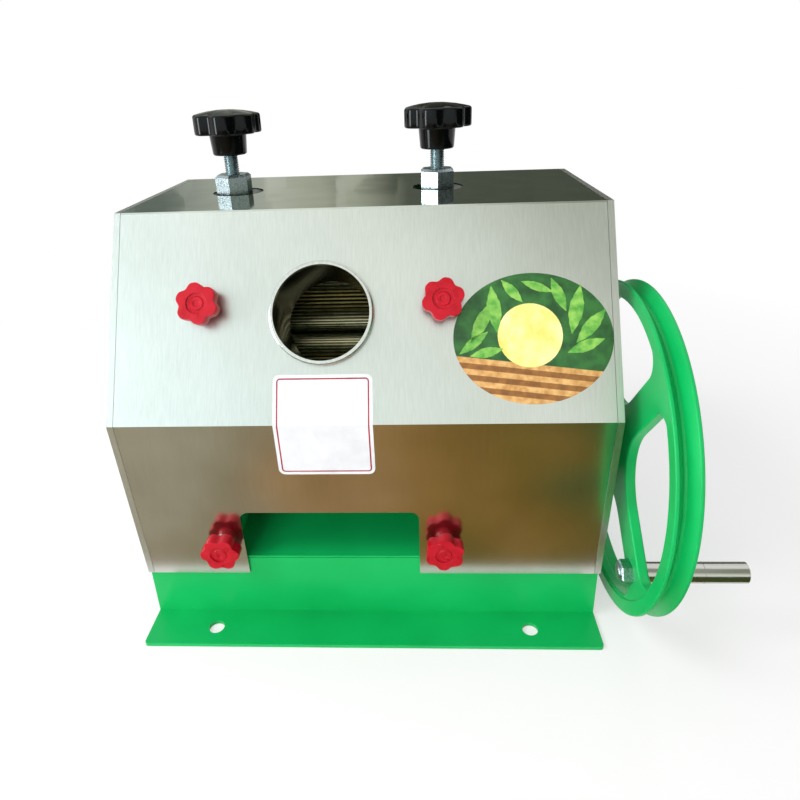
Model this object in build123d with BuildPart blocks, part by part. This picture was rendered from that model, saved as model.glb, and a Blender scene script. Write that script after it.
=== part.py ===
# Hand cranked sugarcane juicer: three fluted rollers between two frame plates, under a
# folded steel case on a painted base, turned by a grooved handwheel through gears.
# X runs along the rollers (the handwheel is at +X), -Y is the feed side, +Z is up.
# The origin is on the floor, in the middle of the case. Millimetres.
import os
from math import acos, cos, pi, radians, sin, sqrt, tan, atan2, degrees

from build123d import *

os.makedirs("parts", exist_ok=True)

# ---- case -------------------------------------------------------------------------------
case_width = 370.0
sheet = 1.2
top_depth = 166.0  # flat top, front to back
top_height = 330.7
ridge_depth = 321.8  # widest point, front to back
ridge_height = 191.4
skirt_depth = 299.4  # bottom edge of the lower panels, front to back
skirt_height = 45.5
lip_width = 4.8  # folded edge of a side panel, on the faces of the case
seam = 0.3  # gap between a lip and the panel beside it
boss_hole_diameter = 43.0  # hole in the top panel round each screw boss
left_boss_hole_shift = 3.0  # to the right of its boss
notch_left = -99.5
notch_right = 40.5
notch_top = 110.0
notch_corner = 7.0
outlet_bottom = 146.0  # bagasse outlet in the rear cover
outlet_top = 212.0
outlet_corner = 6.0
shaft_hole_diameter = 32.0  # in the right side panel

# ---- base -------------------------------------------------------------------------------
base_sheet = 3.0
base_height = 60.0
base_gap = 0.3  # between the base and the panels that lap over it
flange_length = 35.0  # foot flange, out from the front and rear walls
foot_hole_diameter = 12.5
foot_hole_spacing_x = 257.4
foot_hole_edge = 17.0  # from the flange's edge to the hole's centre
foot_corner = 3.0

# ---- frame plates -----------------------------------------------------------------------
frame_centre_x = -27.5
frame_spacing = 175.0
frame_thickness = 8.0
frame_top_gap = 30.7  # from the flat top down to the top of the frame plates
standoff_length = 18.0  # between a cover's inner face and the frame's edge
standoff_diameter = 16.0

# ---- rollers and their gears ------------------------------------------------------------
roller_diameter = 60.0
flute_count = 54
flute_depth = 1.7
roller_end_gap = 1.0
shaft_diameter = 20.0
shaft_left_tail = 8.0  # past the left frame plate
shaft_chamfer = 1.0
roller_gear_teeth = 21
roller_gear_module = 3.0
roller_gear_width = 14.0
roller_gear_slack = 1.2  # play at the pitch line, so that the top roller can rise 2 mm
bottom_roller_spacing = 71.0
running_clearance = 0.05  # radial, every turning shaft in its bore
seat_clearance = 0.01  # radial, parts fixed on a shaft
bush_wall = 5.0
bush_flange = 3.0
bush_flange_width = 3.0

# ---- crank drive ------------------------------------------------------------------------
input_y = -98.0
input_z = 137.0
input_diameter = 16.0
drive_module = 2.5
pinion_teeth = 14
drive_teeth = 46
pinion_width = 18.0
drive_gear_width = 12.0
drive_slack = 0.5
gear_side_gap = 5.0
pressure_angle = radians(20.0)
tooth_root = 1.25  # depth below the pitch circle, in modules
drive_tip = 0.8  # height of the drive gear's teeth over the pitch circle, in modules

# ---- outboard plate ---------------------------------------------------------------------
outboard_gap = 56.0  # between the right frame plate and the outboard plate
outboard_thickness = 6.0
outboard_margin = 14.0
spacer_diameter = 16.0
spacer_bolt_diameter = 8.0
spacer_places = [(-128.0, 160.0), (-80.0, 84.0), (38.0, 118.0), (-60.0, 262.0)]

# ---- pressing gear ----------------------------------------------------------------------
block_width = 50.0
block_below = 26.0  # from the top roller's axis down to the block's foot
block_above = 37.0
block_slide_gap = 0.1
block_seat_gap = 0.2
block_cheek = 4.0  # outer cheek, which laps the face of the frame plate
block_cheek_lap = 5.0
screw_diameter = 12.0
socket_diameter = 22.0
socket_height = 10.0
socket_depth = 12.0
bridge_size = (30.0, 96.0, 14.0)
bridge_corner = 4.0
boss_across_flats = 27.0
boss_chamfer = 2.0
boss_proud = 15.3  # above the flat top
knob_gap = 16.0  # from a boss up to its knob
knob_hub_height = 17.0
knob_hub_bottom_diameter = 28.0
knob_hub_top_diameter = 30.5
knob_diameter = 56.5
knob_cap_height = 15.0
knob_dome = 4.0
knob_lobes = 7
knob_scallop = 9.0  # radius of the hollows between the lobes
knob_scallop_out = 5.6  # from the cap's edge out to a hollow's centre

# ---- feed tube --------------------------------------------------------------------------
feed_down_slope = 78.9  # from the top edge to the tube's axis, down the upper panel
tube_diameter = 73.2
tube_wall = 1.5
tube_proud = 6.0
tube_inside = 56.0
tube_bead = 1.6  # radius of the rolled rim

# ---- thumb screws -----------------------------------------------------------------------
upper_thumb_drop = 63.3  # below the flat top
lower_thumb_rise = 35.5  # above the bottom edge of the lower panels
thumb_diameter = 30.5
thumb_lobes = 6
thumb_head = 9.0
thumb_neck = 6.0
thumb_neck_diameter = 13.0
thumb_scallop = 4.6
thumb_scallop_out = 2.1
thumb_edge_round = 1.6
thumb_recess_diameter = 15.0
thumb_recess_depth = 1.2
thumb_washer = 1.0
thumb_washer_diameter = 12.5
thumb_washer_gap = 0.05  # between the washer and the head
thumb_turns = {"upper_left": 9.0, "upper_right": 47.0, "lower_left": 30.0, "lower_right": 55.0}
thumb_stud_diameter = 8.0
thumb_hole_clearance = 0.5
stud_end_gap = 2.0  # from a stud's end to its standoff's end

# ---- handwheel --------------------------------------------------------------------------
wheel_inner_face = 198.0
wheel_outer_face = 216.0
wheel_radius = 132.0
wheel_rim_inner_radius = 121.0
groove_radius = 124.0
groove_floor = 1.0
flange_tip = 2.5
rim_round = 1.0
web_overlap = 1.0  # of the web into the rim
web_start = 199.0
web_thickness = 8.0
spoke_count = 4
spoke_width = 27.0
spoke_angle = -41.0  # the crank's spoke, below the horizontal on the feed side
window_rim_gap = 2.0  # from a window to the rim
window_hub_corner = 45.0
window_rim_corner = 14.0
window_edge_round = 1.5
hub_diameter = 44.0
hub_start = 190.0
wheel_nut_across_flats = 19.0
wheel_nut_height = 6.0
nut_chamfer = 1.0
wheel_washer_diameter = 24.0
washer_thickness = 2.0
shaft_thread_diameter = 12.0
shaft_tail = 1.5
key_width = 5.0
key_depth = 2.5

# ---- crank ------------------------------------------------------------------------------
crank_radius = 101.0
crank_angle = -44.0
crank_bolt_diameter = 10.0
crank_nut_across_flats = 17.0
crank_nut_height = 8.0
crank_bolt_stand = 1.5  # past the nut
crank_bolt_round = 2.0
crank_collar_diameter = 18.0
grip_diameter = 16.0
grip_length = 76.0
grip_start_gap = 2.0
grip_groove = 0.4
grip_groove_place = 5.0  # past the middle of the grip
grip_chamfer = 0.6
grip_head_diameter = 13.0
grip_head_height = 3.0
grip_head_clearance = 0.3
grip_head_recess = 0.5

# ---- tray, chute, ties ------------------------------------------------------------------
tray_sheet = 1.5
tray_front_height = 62.0
tray_rear_height = 110.0
tray_rear_y = 126.0
tray_wall = 18.0
tray_taper = 34.0  # over which the side walls rise from the front edge
tray_side_gap = 0.5
chute_start_y = 74.0
chute_start_z = 178.0
chute_end_y = 170.0
chute_end_z = 152.0
chute_wall = 12.0
chute_lip_gap = 1.0  # from the chute's lip to each side of the outlet
tie_diameter = 14.0
tie_bolt_diameter = 8.0
tie_bolt_reach = 24.0  # of a bolt inside its tie bar
upper_tie_y = 55.0
upper_tie_z = 284.0
lower_tie_y = 104.0
guide_bar_width = 20.0
guide_bar_gap = 2.0
guide_bar_stem = 5.0
guide_bar_flare = 10.0  # height of the wide top of the bar
guide_bar_foot = 30.0  # from the bottom rollers' axes down to the bar's foot

# ---- small screws -----------------------------------------------------------------------
bolt_head_height = 5.5
bolt_head_across_flats = 13.0
small_screw_diameter = 5.0
small_screw_head_diameter = 9.0
small_screw_head = 2.6
side_screw_spacing = 220.0
side_screw_height = 52.5

# ---- places worked out from the sizes above ---------------------------------------------
half_width = case_width / 2
frame_top = top_height - frame_top_gap
boss_top = top_height + boss_proud
knob_bottom = boss_top + knob_gap
upper_thumb_height = top_height - upper_thumb_drop
lower_thumb_height = skirt_height + lower_thumb_rise
upper_tilt = atan2((ridge_depth - top_depth) / 2, top_height - ridge_height)
lower_tilt = atan2((ridge_depth - skirt_depth) / 2, ridge_height - skirt_height)
frame_left_x = frame_centre_x - frame_spacing / 2
frame_right_x = frame_centre_x + frame_spacing / 2
inside_left = frame_left_x + frame_thickness / 2
inside_right = frame_right_x - frame_thickness / 2
outside_left = frame_left_x - frame_thickness / 2
outside_right = frame_right_x + frame_thickness / 2
frame_inset = sheet + standoff_length

roller_distance = roller_gear_module * roller_gear_teeth
front_roller_y = -bottom_roller_spacing / 2
rear_roller_y = bottom_roller_spacing / 2
drive_distance = drive_module * (pinion_teeth + drive_teeth) / 2
bottom_roller_z = input_z + sqrt(drive_distance**2 - (front_roller_y - input_y) ** 2)
top_roller_z = bottom_roller_z + sqrt(roller_distance**2 - front_roller_y**2)

roller_gear_start = outside_right + gear_side_gap
roller_gear_end = roller_gear_start + roller_gear_width
drive_gear_start = roller_gear_end + gear_side_gap
outboard_start = outside_right + outboard_gap
outboard_end = outboard_start + outboard_thickness

base_half_depth = skirt_depth / 2 - sheet - base_gap
base_half_width = half_width - sheet - base_gap
wall_inner_y = base_half_depth - base_sheet
foot_edge = base_half_depth + flange_length
foot_hole_y = foot_edge - foot_hole_edge


def upper_half_depth(z, inset):
    """Half depth of the upper panels at a height, moved in square to the panel."""
    return top_depth / 2 + (top_height - z) * tan(upper_tilt) - inset / cos(upper_tilt)


def lower_half_depth(z, inset):
    return ridge_depth / 2 - (ridge_height - z) * tan(lower_tilt) - inset / cos(lower_tilt)


def ridge_z(inset):
    """Height at which the two panels meet, once both are moved in."""
    gap = upper_half_depth(0, inset) - lower_half_depth(0, inset)
    return gap / (tan(upper_tilt) + tan(lower_tilt))


def case_outline(inset, bottom, top):
    """Outline of the case seen along X, moved in by inset, from bottom to top."""
    ridge = ridge_z(inset)
    right = [
        (lower_half_depth(bottom, inset), bottom),
        (lower_half_depth(ridge, inset), ridge),
        (upper_half_depth(top, inset), top),
    ]
    return right + [(-y, z) for y, z in reversed(right)]


def panel_plane(x, z, side, inset=0.0):
    """Plane on a cover at a height, facing out. side is -1 at the front, 1 at the rear."""
    upper = z > ridge_height
    tilt = upper_tilt if upper else -lower_tilt
    half = upper_half_depth(z, inset) if upper else lower_half_depth(z, inset)
    return Plane(origin=(x, side * half, z), x_dir=(1, 0, 0), z_dir=(0, side * cos(tilt), sin(tilt)))


def gear_outline(teeth, module, slack, addendum, turn):
    """Points of an involute gear; turn is the angle of one tooth's centre, in degrees."""
    pitch_radius = module * teeth / 2
    base_radius = pitch_radius * cos(pressure_angle)
    tip_radius = pitch_radius + addendum
    root_radius = pitch_radius - tooth_root * module
    start_radius = max(base_radius, root_radius)
    at_pitch = pi / (2 * teeth) - slack / (4 * pitch_radius)
    involute = tan(pressure_angle) - pressure_angle

    def half_angle(radius):
        swing = acos(min(1.0, base_radius / radius))
        return at_pitch + involute - (tan(swing) - swing)

    flank = [start_radius + (tip_radius - start_radius) * step / 3 for step in range(4)]
    points = []
    for tooth in range(teeth):
        centre = radians(turn) + 2 * pi * tooth / teeth
        places = [(root_radius, -half_angle(start_radius))]
        places += [(radius, -half_angle(radius)) for radius in flank]
        places += [(radius, half_angle(radius)) for radius in reversed(flank)]
        places += [(root_radius, half_angle(start_radius))]
        points += [(r * cos(centre + a), r * sin(centre + a)) for r, a in places]
    unique = [points[0]]
    for point in points[1:]:
        if abs(point[0] - unique[-1][0]) + abs(point[1] - unique[-1][1]) > 1e-6:
            unique.append(point)
    return unique


def meshing_turn(teeth, turn, line_angle, other_teeth):
    """Tooth angle of a second gear that meshes along a line from the first gear."""
    phase = (line_angle - turn) * teeth / 360
    return line_angle + 180 - (0.5 - phase) * 360 / other_teeth


def flute_outline():
    """Points of a roller's section: sharp flutes all round."""
    points = []
    for flute in range(flute_count):
        angle = 2 * pi * flute / flute_count
        half_step = pi / flute_count
        outer = roller_diameter / 2
        inner = outer - flute_depth
        points.append((outer * cos(angle), outer * sin(angle)))
        points.append((inner * cos(angle + half_step), inner * sin(angle + half_step)))
    return points


def along_x(x, y, z):
    """Plane facing +X with its centre on a shaft's axis."""
    return Plane(origin=(x, y, z), x_dir=(0, 1, 0), z_dir=(1, 0, 0))


# ---- side panels: a plate with its edges folded over the faces of the case ---------------
for side_name, side in (("left", -1), ("right", 1)):
    with BuildPart() as side_panel:
        with BuildSketch(Plane.YZ.offset(side * half_width)):
            with BuildLine():
                Polyline(*case_outline(0, skirt_height, top_height), close=True)
            make_face()
        extrude(amount=-side * lip_width)
        with BuildSketch(Plane.YZ.offset(side * (half_width - sheet))):
            with BuildLine():
                Polyline(*case_outline(sheet, skirt_height, top_height - sheet), close=True)
            make_face()
        extrude(amount=-side * lip_width, mode=Mode.SUBTRACT)
        for screw_y in (-side_screw_spacing / 2, side_screw_spacing / 2):
            with BuildSketch(along_x(side * half_width, screw_y, side_screw_height)):
                Circle(small_screw_diameter / 2 + running_clearance)
            extrude(amount=-side * 2 * sheet, mode=Mode.SUBTRACT)
        if side > 0:
            with BuildSketch(along_x(half_width, input_y, input_z)):
                Circle(shaft_hole_diameter / 2)
            extrude(amount=-2 * sheet, mode=Mode.SUBTRACT)
    side_panel.part.label = f"side_panel_{side_name}"
    export_step(side_panel.part, f"parts/side_panel_{side_name}.step")

# ---- front panels, rear cover and top panel, between the lips ------------------------------
cover_half_width = half_width - lip_width - seam

with BuildPart() as top_panel:
    with BuildSketch(Plane.YZ.offset(-cover_half_width)):
        with BuildLine():
            Polyline(
                (-upper_half_depth(top_height, 0), top_height),
                (upper_half_depth(top_height, 0), top_height),
                (upper_half_depth(top_height - sheet, 0), top_height - sheet),
                (-upper_half_depth(top_height - sheet, 0), top_height - sheet),
                close=True,
            )
        make_face()
    extrude(amount=2 * cover_half_width)
    with Locations((frame_left_x + left_boss_hole_shift, 0, top_height), (frame_right_x, 0, top_height)):
        Hole(boss_hole_diameter / 2)
top_panel.part.label = "top_panel"
export_step(top_panel.part, "parts/top_panel.step")


panel_top = top_height - sheet
outer_top = (upper_half_depth(panel_top, 0), panel_top)
inner_top = (upper_half_depth(panel_top, sheet), panel_top)
outer_ridge = (upper_half_depth(ridge_z(0), 0), ridge_z(0))
inner_ridge = (upper_half_depth(ridge_z(sheet), sheet), ridge_z(sheet))
outer_skirt = (lower_half_depth(skirt_height, 0), skirt_height)
inner_skirt = (lower_half_depth(skirt_height, sheet), skirt_height)


def sheet_along_x(places, side):
    """Sheet of the covers' width, with this outline; side is -1 at the front, 1 at the rear."""
    with BuildPart(mode=Mode.PRIVATE) as result:
        with BuildSketch(Plane.YZ.offset(-cover_half_width)):
            with BuildLine():
                Polyline(*[(side * y, z) for y, z in places], close=True)
            make_face()
        extrude(amount=2 * cover_half_width)
    return result.part


feed_z = top_height - feed_down_slope * cos(upper_tilt)
feed_plane = panel_plane(frame_centre_x, feed_z, -1)
thumb_planes = {}
for x_name, x in (("left", frame_left_x), ("right", frame_right_x)):
    thumb_planes[f"upper_{x_name}"] = panel_plane(x, upper_thumb_height, -1)
    thumb_planes[f"lower_{x_name}"] = panel_plane(x, lower_thumb_height, -1)
rear_screw_planes = [
    panel_plane(x, z, 1)
    for x in (frame_left_x, frame_right_x)
    for z in (upper_thumb_height, lower_thumb_height)
]
thumb_hole = thumb_stud_diameter / 2 + thumb_hole_clearance

with BuildPart() as upper_front_panel:
    add(sheet_along_x([outer_top, outer_ridge, inner_ridge, inner_top], -1))
    with BuildSketch(feed_plane):
        Circle(tube_diameter / 2 + running_clearance)
    extrude(amount=2 * sheet, both=True, mode=Mode.SUBTRACT)
    for thumb_name in ("upper_left", "upper_right"):
        with BuildSketch(thumb_planes[thumb_name]):
            Circle(thumb_hole)
        extrude(amount=2 * sheet, both=True, mode=Mode.SUBTRACT)
upper_front_panel.part.label = "upper_front_panel"
export_step(upper_front_panel.part, "parts/upper_front_panel.step")

with BuildPart() as lower_front_panel:
    add(sheet_along_x([outer_ridge, outer_skirt, inner_skirt, inner_ridge], -1))
    for thumb_name in ("lower_left", "lower_right"):
        with BuildSketch(thumb_planes[thumb_name]):
            Circle(thumb_hole)
        extrude(amount=2 * sheet, both=True, mode=Mode.SUBTRACT)
    with BuildSketch(Plane.XZ.offset(ridge_depth / 2)):
        with Locations(((notch_left + notch_right) / 2, 0)):
            RectangleRounded(notch_right - notch_left, 2 * notch_top, notch_corner)
    extrude(amount=-(ridge_depth - skirt_depth), mode=Mode.SUBTRACT)
lower_front_panel.part.label = "lower_front_panel"
export_step(lower_front_panel.part, "parts/lower_front_panel.step")

with BuildPart() as rear_cover:
    add(
        sheet_along_x(
            [outer_top, outer_ridge, outer_skirt, inner_skirt, inner_ridge, inner_top],
            1,
        )
    )
    for plane in rear_screw_planes:
        with BuildSketch(plane):
            Circle(small_screw_diameter / 2 + running_clearance)
        extrude(amount=2 * sheet, both=True, mode=Mode.SUBTRACT)
    with BuildSketch(Plane.XZ.offset(-ridge_depth / 2)):
        with Locations((frame_centre_x, (outlet_bottom + outlet_top) / 2)):
            RectangleRounded(
                inside_right - inside_left - 2 * outlet_corner, outlet_top - outlet_bottom, outlet_corner
            )
    extrude(amount=ridge_depth - skirt_depth, both=True, mode=Mode.SUBTRACT)
rear_cover.part.label = "rear_cover"
export_step(rear_cover.part, "parts/rear_cover.step")

# ---- feed tube: square to the upper panel, with a rolled rim ----------------------------
tube_length = tube_proud + tube_inside
with BuildPart() as feed_tube:
    with BuildSketch(feed_plane.offset(tube_proud)):
        Circle(tube_diameter / 2)
        Circle(tube_diameter / 2 - tube_wall, mode=Mode.SUBTRACT)
    extrude(amount=-tube_length)
    with BuildSketch(Plane(feed_plane.origin, x_dir=feed_plane.z_dir, z_dir=(1, 0, 0))):
        with Locations((tube_proud - tube_bead, tube_diameter / 2)):
            Circle(tube_bead)
    revolve(axis=Axis(feed_plane.origin, feed_plane.z_dir))
feed_tube.part.label = "feed_tube"
export_step(feed_tube.part, "parts/feed_tube.step")

# ---- base: four walls and a foot flange at the front and rear ---------------------------
with BuildPart() as base:
    with BuildSketch():
        Rectangle(2 * base_half_width, 2 * base_half_depth)
    extrude(amount=base_height)
    with BuildSketch():
        Rectangle(2 * (base_half_width - base_sheet), 2 * wall_inner_y)
    extrude(amount=base_height, mode=Mode.SUBTRACT)
    with BuildSketch() as foot:
        for side in (-1, 1):
            with Locations((0, side * (base_half_depth + flange_length / 2))):
                Rectangle(2 * base_half_width, flange_length)
        fillet(foot.vertices().group_by(Axis.Y)[0] + foot.vertices().group_by(Axis.Y)[-1], foot_corner)
    extrude(amount=base_sheet)
    with Locations((0, 0, base_sheet)):
        with GridLocations(foot_hole_spacing_x, 2 * foot_hole_y, 2, 2):
            Hole(foot_hole_diameter / 2)
    for side in (-1, 1):
        for screw_y in (-side_screw_spacing / 2, side_screw_spacing / 2):
            with BuildSketch(along_x(side * base_half_width, screw_y, side_screw_height)):
                Circle(small_screw_diameter / 2)
            extrude(amount=-side * base_sheet, mode=Mode.SUBTRACT)
base.part.label = "base"
export_step(base.part, "parts/base.step")

# ---- frame plates -----------------------------------------------------------------------
bush_outer = shaft_diameter / 2 + bush_wall
input_bush_outer = input_diameter / 2 + bush_wall
slot_bottom = top_roller_z - block_below - block_seat_gap
frame_outline = case_outline(frame_inset, base_height, frame_top)
ties = [(-upper_tie_y, upper_tie_z), (upper_tie_y, upper_tie_z)]
tray_slope = atan2(tray_rear_height - tray_front_height, tray_rear_y + base_half_depth)
tray_at_tie = tray_front_height + (lower_tie_y + base_half_depth) * tan(tray_slope)
lower_tie_z = tray_at_tie - (tie_diameter / 2 + tray_sheet) / cos(tray_slope)
ties.append((lower_tie_y, lower_tie_z))

for side_name, frame_x in (("left", frame_left_x), ("right", frame_right_x)):
    with BuildPart() as frame:
        with BuildSketch(Plane.YZ.offset(frame_x - frame_thickness / 2)):
            with BuildLine():
                Polyline(*frame_outline, close=True)
            make_face()
            with Locations((0, base_height / 2 + base_sheet / 2)):
                Rectangle(2 * wall_inner_y, base_height - base_sheet)
            with Locations((0, (slot_bottom + frame_top) / 2)):
                Rectangle(block_width, frame_top - slot_bottom, mode=Mode.SUBTRACT)
            with Locations((front_roller_y, bottom_roller_z), (rear_roller_y, bottom_roller_z)):
                Circle(bush_outer, mode=Mode.SUBTRACT)
            with Locations(*ties):
                Circle(tie_bolt_diameter / 2, mode=Mode.SUBTRACT)
            if side_name == "right":
                with Locations((input_y, input_z)):
                    Circle(input_bush_outer, mode=Mode.SUBTRACT)
                with Locations(*spacer_places):
                    Circle(spacer_bolt_diameter / 2, mode=Mode.SUBTRACT)
        extrude(amount=frame_thickness)
    frame.part.label = f"frame_{side_name}"
    export_step(frame.part, f"parts/frame_{side_name}.step")


def hex_bolt(start, direction, shank_radius, shank_length, across_flats, head_height):
    """A hexagon bolt: its head starts at start and its shank runs along direction."""
    plane = Plane(origin=start, z_dir=direction)
    with BuildPart(mode=Mode.PRIVATE) as bolt:
        with BuildSketch(plane):
            RegularPolygon(across_flats / 2, 6, major_radius=False)
        extrude(amount=-head_height)
        with BuildSketch(plane):
            Circle(shank_radius)
        extrude(amount=shank_length)
    return bolt.part


with BuildPart() as frame_tie_bars:
    for tie_y, tie_z in ties:
        with BuildSketch(along_x(inside_left, tie_y, tie_z)):
            Circle(tie_diameter / 2)
            Circle(tie_bolt_diameter / 2, mode=Mode.SUBTRACT)
        extrude(amount=inside_right - inside_left)
frame_tie_bars.part.label = "frame_tie_bars"
export_step(frame_tie_bars.part, "parts/frame_tie_bars.step")

tie_bolt_length = frame_thickness + tie_bolt_reach
with BuildPart() as tie_bar_bolts:
    for tie_y, tie_z in ties:
        for x, direction in ((outside_left, 1), (outside_right, -1)):
            add(
                hex_bolt(
                    (x, tie_y, tie_z),
                    (direction, 0, 0),
                    tie_bolt_diameter / 2,
                    tie_bolt_length,
                    bolt_head_across_flats,
                    bolt_head_height,
                )
            )
tie_bar_bolts.part.label = "tie_bar_bolts"
export_step(tie_bar_bolts.part, "parts/tie_bar_bolts.step")

# ---- standoffs that carry the covers, and the rear cover's screws -----------------------
with BuildPart() as cover_standoffs:
    standoffs = [(plane, thumb_stud_diameter / 2 + running_clearance) for plane in thumb_planes.values()]
    standoffs += [(plane, small_screw_diameter / 2) for plane in rear_screw_planes]
    for plane, bore in standoffs:
        with BuildSketch(plane.offset(-sheet)):
            Circle(standoff_diameter / 2)
            Circle(bore, mode=Mode.SUBTRACT)
        extrude(amount=-standoff_length)
cover_standoffs.part.label = "cover_standoffs"
export_step(cover_standoffs.part, "parts/cover_standoffs.step")

with BuildPart() as rear_cover_screws:
    for plane in rear_screw_planes:
        with BuildSketch(plane):
            Circle(small_screw_head_diameter / 2)
        extrude(amount=small_screw_head)
        with BuildSketch(plane):
            Circle(small_screw_diameter / 2)
        extrude(amount=-(sheet + standoff_length - stud_end_gap))
rear_cover_screws.part.label = "rear_cover_screws"
export_step(rear_cover_screws.part, "parts/rear_cover_screws.step")

with BuildPart() as side_panel_screws:
    for side in (-1, 1):
        for screw_y in (-side_screw_spacing / 2, side_screw_spacing / 2):
            plane = Plane(origin=(side * half_width, screw_y, side_screw_height), z_dir=(side, 0, 0))
            with BuildSketch(plane):
                Circle(small_screw_head_diameter / 2)
            extrude(amount=small_screw_head)
            with BuildSketch(plane):
                Circle(small_screw_diameter / 2)
            extrude(amount=-(sheet + base_gap + base_sheet))
side_panel_screws.part.label = "side_panel_screws"
export_step(side_panel_screws.part, "parts/side_panel_screws.step")

# ---- pressing gear: bridges and bosses on the frames, blocks in their slots -------------
bridge_x, bridge_y, bridge_z = bridge_size
frames_x = (frame_left_x, frame_right_x)
screw_bore = screw_diameter / 2 + running_clearance

with BuildPart() as press_bridges:
    for x in frames_x:
        with BuildSketch(Plane.XY.offset(frame_top)):
            with Locations((x, 0)):
                RectangleRounded(bridge_x, bridge_y, bridge_corner)
                Circle(screw_bore, mode=Mode.SUBTRACT)
        extrude(amount=bridge_z)
press_bridges.part.label = "press_bridges"
export_step(press_bridges.part, "parts/press_bridges.step")

with BuildPart() as screw_bosses:
    for x in frames_x:
        with BuildSketch(Plane.XY.offset(frame_top + bridge_z)):
            with Locations((x, 0)):
                RegularPolygon(boss_across_flats / 2, 6, major_radius=False, rotation=30)
                Circle(screw_bore, mode=Mode.SUBTRACT)
        extrude(amount=boss_top - frame_top - bridge_z)
    chamfer(screw_bosses.faces().group_by(Axis.Z)[-1].edges().filter_by(GeomType.LINE), boss_chamfer)
screw_bosses.part.label = "screw_bosses"
export_step(screw_bosses.part, "parts/screw_bosses.step")

block_top = top_roller_z + block_above
socket_floor = block_top + socket_height - socket_depth
for side_name, frame_x, outward in (("left", frame_left_x, -1), ("right", frame_right_x, 1)):
    cheek_start = frame_x + outward * (frame_thickness / 2 + block_slide_gap)
    block_centre = (0, (block_above - block_below) / 2)
    with BuildPart() as block:
        with BuildSketch(along_x(frame_x - outward * frame_thickness / 2, 0, top_roller_z)):
            with Locations(block_centre):
                Rectangle(block_width - 2 * block_slide_gap, block_above + block_below)
            Circle(bush_outer, mode=Mode.SUBTRACT)
        extrude(amount=outward * (frame_thickness + block_slide_gap))
        with BuildSketch(along_x(cheek_start, 0, top_roller_z)):
            with Locations(block_centre):
                Rectangle(block_width + 2 * block_cheek_lap, block_above + block_below)
            Circle(bush_outer, mode=Mode.SUBTRACT)
        extrude(amount=outward * block_cheek)
        with BuildSketch(Plane.XY.offset(block_top)):
            with Locations((frame_x, 0)):
                Circle(socket_diameter / 2)
        extrude(amount=socket_height)
        with BuildSketch(Plane.XY.offset(socket_floor)):
            with Locations((frame_x, 0)):
                Circle(screw_bore)
        extrude(amount=socket_depth, mode=Mode.SUBTRACT)
    block.part.label = f"bearing_block_{side_name}"
    export_step(block.part, f"parts/bearing_block_{side_name}.step")


def bush(x, y, z, outward, bore_diameter, length):
    """A flanged bush: its flange lies on the outer face of its plate, at x."""
    bore = bore_diameter / 2 + running_clearance
    outer = bore_diameter / 2 + bush_wall
    with BuildPart(mode=Mode.PRIVATE) as result:
        with BuildSketch(along_x(x, y, z)):
            Circle(outer + bush_flange)
            Circle(bore, mode=Mode.SUBTRACT)
        extrude(amount=outward * bush_flange_width)
        with BuildSketch(along_x(x, y, z)):
            Circle(outer)
            Circle(bore, mode=Mode.SUBTRACT)
        extrude(amount=-outward * length)
    return result.part


with BuildPart() as roller_bushes:
    for y in (front_roller_y, rear_roller_y):
        add(bush(outside_left, y, bottom_roller_z, -1, shaft_diameter, frame_thickness))
        add(bush(outside_right, y, bottom_roller_z, 1, shaft_diameter, frame_thickness))
    add(bush(outboard_end, front_roller_y, bottom_roller_z, 1, shaft_diameter, outboard_thickness))
roller_bushes.part.label = "roller_bushes"
export_step(roller_bushes.part, "parts/roller_bushes.step")

with BuildPart() as input_shaft_bushes:
    add(bush(outside_right, input_y, input_z, 1, input_diameter, frame_thickness))
    add(bush(outboard_end, input_y, input_z, 1, input_diameter, outboard_thickness))
input_shaft_bushes.part.label = "input_shaft_bushes"
export_step(input_shaft_bushes.part, "parts/input_shaft_bushes.step")

block_bush_length = frame_thickness + block_slide_gap + block_cheek
with BuildPart() as top_roller_bushes:
    left_face = outside_left - block_slide_gap - block_cheek
    right_face = outside_right + block_slide_gap + block_cheek
    for x, outward in ((left_face, -1), (right_face, 1)):
        with BuildSketch(along_x(x, 0, top_roller_z)):
            Circle(bush_outer)
            Circle(shaft_diameter / 2 + running_clearance, mode=Mode.SUBTRACT)
        extrude(amount=-outward * block_bush_length)
top_roller_bushes.part.label = "top_roller_bushes"
export_step(top_roller_bushes.part, "parts/top_roller_bushes.step")

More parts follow.
